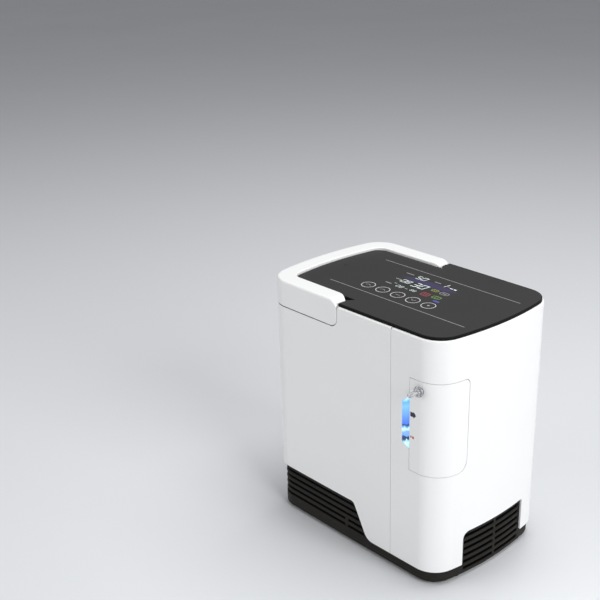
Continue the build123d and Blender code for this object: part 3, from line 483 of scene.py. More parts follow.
def triangulated(points: np.ndarray, sizes: Sequence[int]) -> np.ndarray:
    """Triangles over the points, bounded by the closed outlines that come first among them.

    Args:
        points: outline points, then loose points inside.
        sizes: number of points in each outline.

    Returns:
        Rows of three point numbers, anticlockwise.
    """
    starts = np.cumsum(sizes) - sizes
    rings = [np.arange(start, start + size) for start, size in zip(starts, sizes)]
    edges = np.concatenate([np.column_stack([ring, np.roll(ring, -1)]) for ring in rings])
    found, _, faces, sources, _, _ = delaunay_2d_cdt(points.tolist(), edges.tolist(), [], 0, WELD)

    # a point that the triangulation added takes the number of the given point nearest to it
    source = np.array(next(zip_longest(*sources, fillvalue=-1)))
    added = np.flatnonzero(source < 0)
    apart = points[None] - np.array(found)[added][:, None]
    source[added] = np.argmin(np.sum(apart**2, axis=-1), axis=1)

    faces = source[np.array(faces)]
    faces = faces[enclosed(points[faces].mean(axis=1), [points[ring] for ring in rings])]
    a, b, c = (points[faces[:, k]] for k in range(3))
    area = (b[:, 0] - a[:, 0]) * (c[:, 1] - a[:, 1]) - (b[:, 1] - a[:, 1]) * (c[:, 0] - a[:, 0])
    kept = np.abs(area) > TINY_AREA
    return np.where((area > 0)[:, None], faces, faces[:, ::-1])[kept]


def slab(
    surface: Surface,
    outlines: Sequence[np.ndarray],
    thickness: float,
    edge: float | Callable[[np.ndarray], np.ndarray] = 0.35 * MM,
    holes: Sequence[np.ndarray] = (),
    sink: float = 0.0,
    cell: float | None = 10 * MM,
    step: float = 3 * MM,
) -> Shape:
    """Plate of even thickness that lies on a surface, with rounded rims.

    Its outer rim is a quarter round: at angle a from the face it lies in from the outline by the
    radius times one minus the sine of a, and below the face by the radius times one minus the
    cosine of a. The inner rim is a small chamfer.

    Args:
        surface: what the plate lies on.
        outlines: closed outlines of the material, in the surface's two coordinates.
        thickness: depth of the plate.
        edge: radius of the outer rim, or a function of the outline's points that gives it.
        holes: closed outlines of the openings.
        sink: depth of the outer face below the surface.
        cell: spacing of loose points, or None for a plate that needs none.
        step: longest edge of the outlines.

    Returns:
        The closed plate, with its normals.
    """
    loops = [resample(turned(loop, False), step) for loop in outlines]
    loops += [resample(turned(loop, True), step) for loop in holes]
    sizes = [len(loop) for loop in loops]
    rim = np.concatenate(loops)
    into = np.concatenate([inward(loop) for loop in loops])
    radius = edge(rim) if callable(edge) else np.full(len(rim), edge)
    inner = min(0.25 * MM, 0.3 * thickness)
    lip = rim + into * radius[:, None]
    starts = np.cumsum(sizes) - sizes
    points = lip
    if cell is not None:
        loose = surface.lattice(rim.min(axis=0), rim.max(axis=0), cell)
        loose = loose[enclosed(loose, [lip[s : s + n] for s, n in zip(starts, sizes)])]
        nearest = np.min(np.sum((rim[None] - loose[:, None]) ** 2, axis=-1), axis=1)
        points = np.concatenate([lip, loose[nearest > CLEAR_OF_RIM**2]])
    triangles = triangulated(points, sizes)
    count, border = len(points), np.arange(len(rim))

    rows, depths, normals = [points], [np.full(count, sink)], [surface.axes(points)[2]]
    along, up, out = surface.axes(rim)
    away = -unit(along * into[:, :1] + up * into[:, 1:])
    for angle in np.linspace(0, math.pi / 2, ROUNDING_STEPS + 1)[1:]:
        rows.append(rim + into * (radius * (1 - math.sin(angle)))[:, None])
        depths.append(sink + radius * (1 - math.cos(angle)))
        normals.append(out * math.cos(angle) + away * math.sin(angle))
    rows.append(rim)
    depths.append(np.full(len(rim), sink + thickness - inner))
    normals.append(away)
    back = points.copy()
    back[: len(rim)] = rim + into * inner
    rows.append(back)
    depths.append(np.full(count, sink + thickness))
    normals.append(-surface.axes(back)[2])

    verts = np.concatenate([surface.place(flat, depth) for flat, depth in zip(rows, depths)])
    faces = [triangles]
    offsets = np.cumsum([0] + [len(row) for row in rows])
    for level in range(len(rows) - 1):
        faces.append(strips(border + offsets[level], border + offsets[level + 1], sizes))
    faces.append(triangles[:, ::-1] + offsets[-2])
    return Shape(verts, faces, np.concatenate(normals))


def grid(points: np.ndarray, closed: bool = False) -> Shape:
    """Tube of rings: points[i, j] is point j of ring i, and each ring is closed.

    Args:
        points: array of shape (rings, points in a ring, 3).
        closed: whether the last ring meets the first. If not, flat caps close both ends.

    Returns:
        The closed tube, facing outwards.
    """
    rings, size, _ = points.shape
    number = np.arange(rings * size).reshape(rings, size)
    ahead = np.roll(number, -1, axis=0) if closed else number[1:]
    here = number if closed else number[:-1]
    quads = np.stack([here, np.roll(here, -1, axis=1), np.roll(ahead, -1, axis=1), ahead], axis=-1).reshape(-1, 4)
    caps = [] if closed else [number[0][::-1][None], number[-1][None]]
    verts = points.reshape(-1, 3)
    a, b, c, d = (verts[quads[:, k]] for k in range(4))
    volume = np.sum(a * np.cross(b, c)) + np.sum(a * np.cross(c, d))
    faces = [quads, *caps]
    return Shape(verts, [face[:, ::-1] for face in faces] if volume < 0 else faces)


def bar(wall: CaseWall, section: np.ndarray, start: float, stop: float) -> Shape:
    """Section carried round the case: every station of the wall takes the whole section.

    Args:
        wall: the face that depths are counted from.
        section: closed rows (depth, height).
        start: arc length of one end.
        stop: arc length of the other end.

    Returns:
        The closed bar.
    """
    s = np.concatenate([[start], wall.plan.stations(start, stop, 12 * MM, wall.corner_cell), [stop]])
    flat = np.stack(np.broadcast_arrays(s[:, None], section[None, :, 1]), axis=-1)
    depth = np.broadcast_to(section[None, :, 0], flat.shape[:2])
    return grid(wall.place(flat.reshape(-1, 2), depth.ravel()).reshape(*flat.shape[:2], 3))


def revolved(profile: np.ndarray, origin: Sequence[float], steps: int = 48) -> Shape:
    """Profile turned once: x and z are the radius times the turn's cosine and sine.

    Args:
        profile: closed rows (radius, distance towards -Y).
        origin: a point on the axis, which runs along Y.
        steps: places round the turn.

    Returns:
        The closed ring.
    """
    angle = np.linspace(0, 2 * math.pi, steps, endpoint=False)[:, None]
    radius, far = profile[None, :, 0], profile[None, :, 1]
    points = np.stack(np.broadcast_arrays(radius * np.cos(angle), -far, radius * np.sin(angle)), axis=-1)
    return grid(points + np.array(origin), closed=True)


def joined(shapes: Sequence[Shape]) -> Shape:
    """Put shapes together, keeping their normals if all of them have some.

    Args:
        shapes: the shapes, which may run into each other.

    Returns:
        One shape with all their vertices and faces.
    """
    offsets = np.cumsum([0] + [len(shape.verts) for shape in shapes])
    faces = [face + offset for shape, offset in zip(shapes, offsets) for face in shape.faces]
    known = all(shape.normals is not None for shape in shapes)
    normals = np.concatenate([shape.normals for shape in shapes]) if known else None
    return Shape(np.concatenate([shape.verts for shape in shapes]), faces, normals)


class Body(str, Enum):
    """Bodies that new pieces ride on."""

    CHASSIS = "chassis"
    HANDLE = "handle"
    HUMIDIFIER = "humidifier"
    FILTER = "filter_door"


def piece(
    name: str, shape: Shape, material: bpy.types.Material, body: Body, stands_for: Sequence[str] = ()
) -> None:
    """Make a shape into an object that rides on a body, and report it.

    Args:
        name: the piece's name.
        shape: its vertices, faces and normals.
        material: its finish.
        body: the body it moves with.
        stands_for: nodes of the frame that it replaces.
    """
    mesh = bpy.data.meshes.new(name)
    faces = list(chain.from_iterable(group.tolist() for group in shape.faces))
    mesh.from_pydata(shape.verts.tolist(), [], faces)
    mesh.update()
    mesh.shade_smooth()
    if shape.normals is None:
        mesh.set_sharp_from_angle(angle=SHARP)
    else:
        mesh.normals_split_custom_set_from_vertices(unit(shape.normals).tolist())
    mesh.materials.append(material)
    made = bpy.data.objects.new(name, mesh)
    bpy.context.scene.collection.objects.link(made)
    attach(made, body.value)
    if stands_for:
        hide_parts(*stands_for)
    LOG.info("%s: %d faces on %s", name, len(mesh.polygons), body.value)


# ------------------------------------------------------------------ finishes
def feed(tree: bpy.types.NodeTree, target: bpy.types.NodeSocket, source: Source) -> None:
    """Link a socket to an input, or set the input to a constant.

    Args:
        tree: the tree that holds both.
        target: the input.
        source: a socket, a number or a colour.
    """
    if isinstance(source, bpy.types.NodeSocket):
        tree.links.new(source, target)
    else:
        target.default_value = source


def computed(tree: bpy.types.NodeTree, operation: str, *terms: Source) -> bpy.types.NodeSocket:
    """Work a sum on its terms with a Math node.

    Args:
        tree: the tree that gets the node.
        operation: the node's operation.
        terms: sockets or numbers, in the node's order.

    Returns:
        The node's output.
    """
    node = tree.nodes.new("ShaderNodeMath")
    node.operation = operation
    for target, term in zip(node.inputs, terms):
        feed(tree, target, term)
    return node.outputs["Value"]


def ranged(
    tree: bpy.types.NodeTree, value: Source, span: Sequence[float], onto: Sequence[Source] = (0.0, 1.0),
    smooth: bool = False,
) -> bpy.types.NodeSocket:
    """Carry a value from one range to another.

    Args:
        tree: the tree that gets the node.
        value: the value.
        span: the range that it comes from.
        onto: the range that it goes to.
        smooth: whether it eases in and out.

    Returns:
        The node's output.
    """
    node = tree.nodes.new("ShaderNodeMapRange")
    node.interpolation_type = "SMOOTHSTEP" if smooth else "LINEAR"
    for key, source in zip(("Value", "From Min", "From Max", "To Min", "To Max"), (value, *span, *onto)):
        feed(tree, node.inputs[key], source)
    return node.outputs["Result"]


def blended(tree: bpy.types.NodeTree, factor: Source, first: Source, second: Source) -> bpy.types.NodeSocket:
    """Mix two colours.

    Args:
        tree: the tree that gets the node.
        factor: share of the second colour.
        first: the first colour.
        second: the second colour.

    Returns:
        The node's output.
    """
    node = tree.nodes.new("ShaderNodeMix")
    node.data_type = "RGBA"
    for key, source in zip(("Factor", "A", "B"), (factor, first, second)):
        feed(tree, node.inputs[key], source)
    return node.outputs["Result"]


def grain_group() -> bpy.types.NodeTree:
    """Shared effect: a fine moulded grain over slow cloudy variation.

    Returns:
        A group that puts out Colour, Roughness and Height. Fine noise gives the height, coarse
        noise mixes the two colours and the two roughnesses.
    """
    found = bpy.data.node_groups.get("moulded_grain")
    if found:
        return found
    group = bpy.data.node_groups.new("moulded_grain", "ShaderNodeTree")
    number, shade = "NodeSocketFloat", "NodeSocketColor"
    inputs = {"Colour": shade, "Second Colour": shade, "Grain Scale": number, "Cloud Scale": number,
              "Smooth": number, "Rough": number}
    outputs = {"Colour": shade, "Roughness": number, "Height": number}
    for side, sockets in (("INPUT", inputs), ("OUTPUT", outputs)):
        for name, kind in sockets.items():
            group.interface.new_socket(name, in_out=side, socket_type=kind)
    nodes, links = group.nodes, group.links
    inside, outside = nodes.new("NodeGroupInput").outputs, nodes.new("NodeGroupOutput").inputs
    place = nodes.new("ShaderNodeTexCoord")
    fine, cloud = nodes.new("ShaderNodeTexNoise"), nodes.new("ShaderNodeTexNoise")
    for noise, scale, detail in ((fine, "Grain Scale", 2.0), (cloud, "Cloud Scale", 3.0)):
        noise.inputs["Detail"].default_value = detail
        links.new(place.outputs["Object"], noise.inputs["Vector"])
        links.new(inside[scale], noise.inputs["Scale"])
    colour = blended(group, cloud.outputs["Fac"], inside["Colour"], inside["Second Colour"])
    mixed = computed(group, "MULTIPLY_ADD", fine.outputs["Fac"], FINE_SHARE, cloud.outputs["Fac"])
    roughness = ranged(group, mixed, MIXED_RANGE, (inside["Smooth"], inside["Rough"]))
    links.new(colour, outside["Colour"])
    links.new(roughness, outside["Roughness"])
    links.new(fine.outputs["Fac"], outside["Height"])
    return group


@dataclass(frozen=True)
class Finish:
    """A moulded, cast or printed finish, with its own colours, grain and gloss."""

    name: str
    colour: Colour
    second: Colour
    smooth: float = 0.3
    rough: float = 0.4
    grain: float = 900.0
    cloud: float = 14.0
    bump: float = 0.05
    relief: float = 0.03 * MM
    metallic: float = 0.0
    coat: float = 0.0
    transmission: float = 0.0
    ior: float = 1.49
    glow: float = 0.0

    def material(self) -> bpy.types.Material:
        """Make the finish a material, once.

        Returns:
            The material.
        """
        title = f"look_{self.name}"
        found = bpy.data.materials.get(title)
        if found:
            return found
        made = bpy.data.materials.new(title)
        made.use_nodes = True
        tree = made.node_tree
        nodes, links, shader = tree.nodes, tree.links, tree.nodes["Principled BSDF"]
        for key, value in (
            ("Metallic", self.metallic),
            ("Coat Weight", self.coat),
            ("Coat Roughness", COAT_ROUGHNESS),
            ("Transmission Weight", self.transmission),
            ("IOR", self.ior),
        ):
            shader.inputs[key].default_value = value
        grain = nodes.new("ShaderNodeGroup")
        grain.node_tree = grain_group()
        for key, value in (
            ("Colour", (*self.colour, 1)),
            ("Second Colour", (*self.second, 1)),
            ("Grain Scale", self.grain),
            ("Cloud Scale", self.cloud),
            ("Smooth", self.smooth),
            ("Rough", self.rough),
        ):
            grain.inputs[key].default_value = value
        links.new(grain.outputs["Roughness"], shader.inputs["Roughness"])
        colour = self.tinted(tree, grain.outputs["Colour"])
        links.new(colour, shader.inputs["Base Color"])
        if self.glow > 0:
            links.new(colour, shader.inputs["Emission Color"])
            shader.inputs["Emission Strength"].default_value = self.glow
        bump = nodes.new("ShaderNodeBump")
        bump.inputs["Strength"].default_value = self.bump
        bump.inputs["Distance"].default_value = self.relief
        links.new(grain.outputs["Height"], bump.inputs["Height"])
        links.new(bump.outputs["Normal"], shader.inputs["Normal"])
        return made

    def tinted(self, tree: bpy.types.NodeTree, colour: bpy.types.NodeSocket) -> bpy.types.NodeSocket:
        """The colour as the grain gives it."""
        return colour


@dataclass(frozen=True)
class PanelFinish(Finish):
    """Smoked glass with a faint violet band under the display, and painted shade on its sides, which are darker than
    its top face.
    """

    # painted shade: colour of the sides, mixed in as the normal turns away from up
    edge: Colour = (0.010, 0.010, 0.010)
    side_shade_power: float = 5.0
    band: Colour = (0.056, 0.048, 0.098)
    band_centre: tuple[float, float, float] = (0.016, 0.029, 0.0)
    band_half: tuple[float, float, float] = (0.040, 0.0075, 1.0)
    band_fade: Point = (0.75, 1.2)

    def tinted(self, tree: bpy.types.NodeTree, colour: bpy.types.NodeSocket) -> bpy.types.NodeSocket:
        """Paint shade on the sides, darker as the normal turns away from up, and lay the band in by the distance from
        its centre.

        Args:
            tree: the material's nodes.
            colour: the colour of the top face.

        Returns:
            The colour with its painted side shade and band.
        """
        nodes, links = tree.nodes, tree.links
        split = nodes.new("ShaderNodeSeparateXYZ")
        links.new(nodes.new("ShaderNodeNewGeometry").outputs["Normal"], split.inputs["Vector"])
        # painted shade on the sides: the top face keeps its colour, the sides go towards the dark edge colour
        level = computed(tree, "POWER", split.outputs["Z"], self.side_shade_power)
        sides = blended(tree, level, (*self.edge, 1), colour)
        centred = nodes.new("ShaderNodeMapping")
        centred.vector_type = "TEXTURE"
        centred.inputs["Location"].default_value = self.band_centre
        centred.inputs["Scale"].default_value = self.band_half
        links.new(nodes.new("ShaderNodeTexCoord").outputs["Object"], centred.inputs["Vector"])
        reach = nodes.new("ShaderNodeVectorMath")
        reach.operation = "LENGTH"
        links.new(centred.outputs["Vector"], reach.inputs[0])
        mask = ranged(tree, reach.outputs["Value"], self.band_fade, (1.0, 0.0), smooth=True)
        return blended(tree, mask, sides, (*self.band, 1))


@dataclass(frozen=True)
class WindowFinish(Finish):
    """Level window lit from behind: pale at the top, deeper below, with dark slanting bands of water."""

    low: float = WINDOW_LOW
    high: float = WINDOW_HIGH
    centre_x: float = 89.0 * MM
    slant: float = -0.45
    stir: float = 8.0 * MM
    ripple: float = 130.0
    bubble: float = 210.0
    bubble_fade: Point = (0.16, 0.34)
    bubble_share: float = 0.75
    bubble_level: Point = (0.42, 0.36)
    bubble_colour: Colour = (0.72, 0.98, 1.0)
    stops: tuple[tuple[float, Colour], ...] = (
        (0.00, (0.30, 0.75, 0.98)),
        (0.05, (0.62, 0.95, 1.00)),
        (0.11, (0.28, 0.68, 0.98)),
        (0.150, (0.004, 0.028, 0.11)),
        (0.195, (0.004, 0.030, 0.13)),
        (0.22, (0.16, 0.36, 0.95)),
        (0.30, (0.22, 0.45, 1.00)),
        (0.35, (0.70, 0.97, 1.00)),
        (0.39, (0.10, 0.40, 0.90)),
        (0.43, (0.003, 0.022, 0.10)),
        (0.46, (0.05, 0.17, 0.80)),
        (0.60, (0.12, 0.33, 0.98)),
        (0.78, (0.20, 0.52, 1.00)),
        (0.86, (0.12, 0.42, 0.80)),
        (0.89, (0.24, 0.62, 1.00)),
        (1.00, (0.45, 0.80, 1.00)),
    )

    def tinted(self, tree: bpy.types.NodeTree, colour: bpy.types.NodeSocket) -> bpy.types.NodeSocket:
        """Run a ramp of colours up the window, slanted and stirred by noise, with pale bubbles low down.

        Args:
            tree: the material's nodes.
            colour: the grain's colour, not used: the ramp takes its place.

        Returns:
            The ramp with its bubbles.
        """
        nodes, links = tree.nodes, tree.links
        where = nodes.new("ShaderNodeTexCoord").outputs["Object"]
        split, noise = nodes.new("ShaderNodeSeparateXYZ"), nodes.new("ShaderNodeTexNoise")
        noise.inputs["Scale"].default_value = self.ripple
        noise.inputs["Detail"].default_value = 2.0
        bubbles = nodes.new("ShaderNodeTexVoronoi")
        bubbles.inputs["Scale"].default_value = self.bubble
        for node in (split, noise, bubbles):
            links.new(where, node.inputs["Vector"])

        tilted = computed(tree, "MULTIPLY_ADD", split.outputs["X"], self.slant, split.outputs["Z"])
        stirred = computed(tree, "MULTIPLY_ADD", noise.outputs["Fac"], self.stir, tilted)
        middle = self.slant * self.centre_x + self.stir / 2
        ramp = nodes.new("ShaderNodeValToRGB")
        links.new(ranged(tree, stirred, (self.low + middle, self.high + middle)), ramp.inputs["Fac"])
        elements = ramp.color_ramp.elements
        for index, (at, shade) in enumerate(self.stops):
            stop = elements[0] if index == 0 else elements.new(at)
            stop.position = at
            stop.color = (*shade, 1)
        elements[-1].color = (*self.stops[-1][1], 1)

        spots = ranged(tree, bubbles.outputs["Distance"], self.bubble_fade, (self.bubble_share, 0.0), smooth=True)
        start, full = (self.low + share * (self.high - self.low) for share in self.bubble_level)
        below = computed(tree, "MULTIPLY", spots, ranged(tree, split.outputs["Z"], (start, full)))
        return blended(tree, below, ramp.outputs["Color"], (*self.bubble_colour, 1))


WHITE = Finish("case_white", (0.80, 0.805, 0.81), (0.78, 0.785, 0.79), 0.30, 0.38, 1400.0, bump=0.06)
BLACK = Finish(
    "base_black", (0.017, 0.0158, 0.0135), (0.012, 0.011, 0.0095),
    0.5, 0.64, 1100.0, bump=0.35, ior=1.25,
)
# painted shade: near-black finish for the sheets that stand for the dark inside behind the louvres
LOUVRE_SHADE = Finish(
    "louvre_shade_black", (0.004, 0.004, 0.004), (0.002, 0.002, 0.002),
    0.8, 0.95, 1500.0, bump=0.3, ior=1.1,
)
PANEL = PanelFinish(
    "panel_glass", (0.042, 0.042, 0.042), (0.039, 0.039, 0.039),
    0.42, 0.5, 500.0, bump=0.02, ior=1.10,
)
DECK = Finish("deck_grey", (0.05, 0.05, 0.052), (0.04, 0.04, 0.042), 0.5, 0.62, 1000.0, bump=0.3)
RUBBER = Finish("foot_rubber", (0.03, 0.03, 0.03), (0.022, 0.022, 0.022), 0.6, 0.8, 700.0, bump=0.4)
CLEAR = Finish(
    "clear_plastic", (0.93, 0.96, 0.98), (0.90, 0.94, 0.97),
    0.03, 0.09, 300.0, bump=0.02, transmission=0.97,
)
SPIGOT = Finish(
    "spigot_clear", (0.96, 0.96, 0.97), (0.84, 0.85, 0.87),
    0.03, 0.09, 400.0, 220.0, transmission=0.78, bump=0.1, relief=0.1 * MM,
)
WINDOW = WindowFinish(
    "window_lit", (0.3, 0.6, 1.0), (0.3, 0.6, 1.0),
    0.05, 0.12, 300.0, coat=0.25, glow=0.48,
)
WATER = Finish(
    "water", (0.62, 0.82, 0.98), (0.55, 0.78, 0.97),
    0.02, 0.06, 120.0, transmission=0.95, ior=1.33,
)
SEAL = Finish("seal_silicone", (0.66, 0.68, 0.70), (0.58, 0.60, 0.62), 0.45, 0.6, 500.0, bump=0.2)
STONE = Finish(
    "diffuser", (0.70, 0.72, 0.74), (0.50, 0.52, 0.54),
    0.8, 0.95, 1600.0, 500.0, bump=0.9, relief=0.2 * MM,
)
STEEL = Finish(
    "steel", (0.55, 0.56, 0.58), (0.46, 0.47, 0.49),
    0.28, 0.42, 1500.0, 40.0, bump=0.15, metallic=1.0,
)
BRONZE = Finish(
    "bronze", (0.62, 0.42, 0.20), (0.48, 0.31, 0.14),
    0.32, 0.5, 900.0, 60.0, bump=0.2, metallic=1.0,
)
CAST = Finish(
    "cast_aluminium", (0.58, 0.59, 0.61), (0.45, 0.46, 0.48),
    0.42, 0.62, 650.0, 30.0, bump=0.6, relief=0.12 * MM, metallic=1.0,
)
COPPER = Finish(
    "copper_winding", (0.55, 0.24, 0.10), (0.40, 0.16, 0.07),
    0.28, 0.44, 800.0, 50.0, bump=0.5, metallic=1.0,
)
FAN = Finish("fan_black", (0.028, 0.028, 0.030), (0.020, 0.020, 0.022), 0.38, 0.5, 900.0, bump=0.2)
SPUN = Finish(
    "bed_aluminium", (0.70, 0.71, 0.73), (0.60, 0.61, 0.63),
    0.22, 0.36, 1300.0, 25.0, bump=0.2, metallic=1.0,
)
TANK = Finish("tank_white", (0.70, 0.70, 0.69), (0.60, 0.60, 0.58), 0.42, 0.55, 400.0, 20.0, bump=0.25)
HOSE = Finish("hose", (0.62, 0.63, 0.64), (0.52, 0.53, 0.55), 0.4, 0.55, 600.0, 30.0, bump=0.2)
BOARD = Finish(
    "circuit_green", (0.015, 0.11, 0.045), (0.010, 0.075, 0.030),
    0.3, 0.45, 700.0, 90.0, bump=0.3, coat=0.3,
)
VALVE = Finish("valve_black", (0.045, 0.045, 0.05), (0.03, 0.03, 0.034), 0.42, 0.56, 800.0, bump=0.3)
FOAM = Finish(
    "foam", (0.045, 0.045, 0.05), (0.02, 0.02, 0.022),
    0.9, 1.0, 1500.0, 700.0, bump=1.0, relief=0.6 * MM,
)
BLUE_LIGHT = Finish("light_blue", (0.25, 0.52, 1.0), (0.35, 0.62, 1.0), 0.3, 0.4, glow=1.5)
# painted glow: these printed inks emit a little light, though they are prints and not lamps
INK_GREY = Finish("ink_grey", (0.30, 0.30, 0.30), (0.25, 0.25, 0.25), 0.4, 0.5, glow=0.1)
INK_WHITE = Finish("ink_white", (0.56, 0.57, 0.56), (0.48, 0.49, 0.48), 0.35, 0.45, glow=0.12)
INK_BLACK = Finish("ink_black", (0.012, 0.011, 0.014), (0.020, 0.012, 0.022), 0.35, 0.45)
# painted shade: dark finish for the strips that stand for the shade deep in the gaps
GAP_SHADE = Finish("gap_shade_dark", (0.03, 0.03, 0.03), (0.02, 0.02, 0.02), 0.6, 0.75, 700.0, bump=0.2)
# painted glow: the red mark printed on the door emits a little light, though it is no lamp
INK_RED = Finish("ink_red", (0.50, 0.08, 0.08), (0.42, 0.06, 0.06), 0.35, 0.45, glow=0.15)
LIT_WHITE = Finish("lit_white", (0.64, 0.72, 0.70), (0.54, 0.62, 0.60), 0.3, 0.4, glow=0.35)
LIT_RED = Finish("lit_red", (0.34, 0.05, 0.06), (0.26, 0.04, 0.05), 0.3, 0.4, glow=0.25)
LIT_YELLOW = Finish("lit_yellow", (0.27, 0.27, 0.05), (0.20, 0.21, 0.04), 0.3, 0.4, glow=0.25)
LIT_GREEN = Finish("lit_green", (0.14, 0.27, 0.05), (0.10, 0.20, 0.04), 0.3, 0.4, glow=0.25)
LIT_BLUE = Finish("lit_blue", (0.07, 0.07, 0.34), (0.05, 0.05, 0.26), 0.3, 0.4, glow=0.3)
DARK_GLASS = Finish("receiver_glass", (0.012, 0.010, 0.012), (0.008, 0.008, 0.008), 0.1, 0.2)
FLOOR = Finish("floor_pale", (0.66, 0.675, 0.70), (0.63, 0.645, 0.67), 0.5, 0.62, 300.0, 2.0, bump=0.02)

SLOT_FINISH: dict[str, Finish] = {
    "case_white": WHITE,
    "base_black": BLACK,
    "panel_glass": DARK_GLASS,
    "deck_grey": DECK,
    "foot_rubber": RUBBER,
    "clear_plastic": CLEAR,
    "window_clear": CLEAR,
    "seal_silicone": SEAL,
    "diffuser": STONE,
    "steel": STEEL,
    "bronze": BRONZE,
    "cast_aluminium": CAST,
    "copper_winding": COPPER,
    "fan_black": FAN,
    "bed_aluminium": SPUN,
    "tank_white": TANK,
    "hose": HOSE,
    "circuit_green": BOARD,
    "valve_black": VALVE,
    "foam": FOAM,
    "light_blue": BLUE_LIGHT,
}


# ------------------------------------------------------------------ sub-assemblies
@dataclass(frozen=True)
class Layout:
    """Heights and places that several sub-assemblies share, read from the frame."""

    wall: CaseWall
    centre_y: float
    top: float
    shell_top: float
    panel_top: float
    panel_thickness: float
    handle_low: float
    handle_end: float
    skirt: float
    seam: float
    gap: float = 0.4 * MM
    thickness: float = 2.5 * MM
    grille_top: float = 61.5 * MM
    nest_width: float = 22.0 * MM
    nest_corner: float = 15.0 * MM

    @staticmethod
    def measured() -> "Layout":
        """Read the frame's nodes for the sizes that the looks depend on.

        Returns:
            The layout. Its shells stop a little below the frame's, so that more of the panel's edge shows.
        """
        left, right, handle, panel = (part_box(n) for n in ("left_shell", "right_shell", "handle", "control_panel"))
        centre = (handle[0].y + handle[1].y) / 2
        top = handle[1].z
        rim_drop = 0.9 * MM
        return Layout(
            wall=CaseWall(BowedPlan(), top, centre),
            centre_y=centre,
            top=top,
            shell_top=left[1].z - rim_drop,
            panel_top=panel[1].z,
            panel_thickness=panel[1].z - panel[0].z + rim_drop,
            handle_low=handle[0].z,
            handle_end=handle[1].x,
            skirt=right[0].z,
            seam=(left[1].x + right[0].x) / 2,
        )

    @property
    def around(self) -> float:
        """Arc length once round the case."""
        return 4 * self.wall.plan.quarter

    def s_rear(self, x: float) -> float:
        """Arc length of a point of the rear wall with this x, past the right end."""
        return self.around / 2 - self.wall.plan.s_at_x(x)


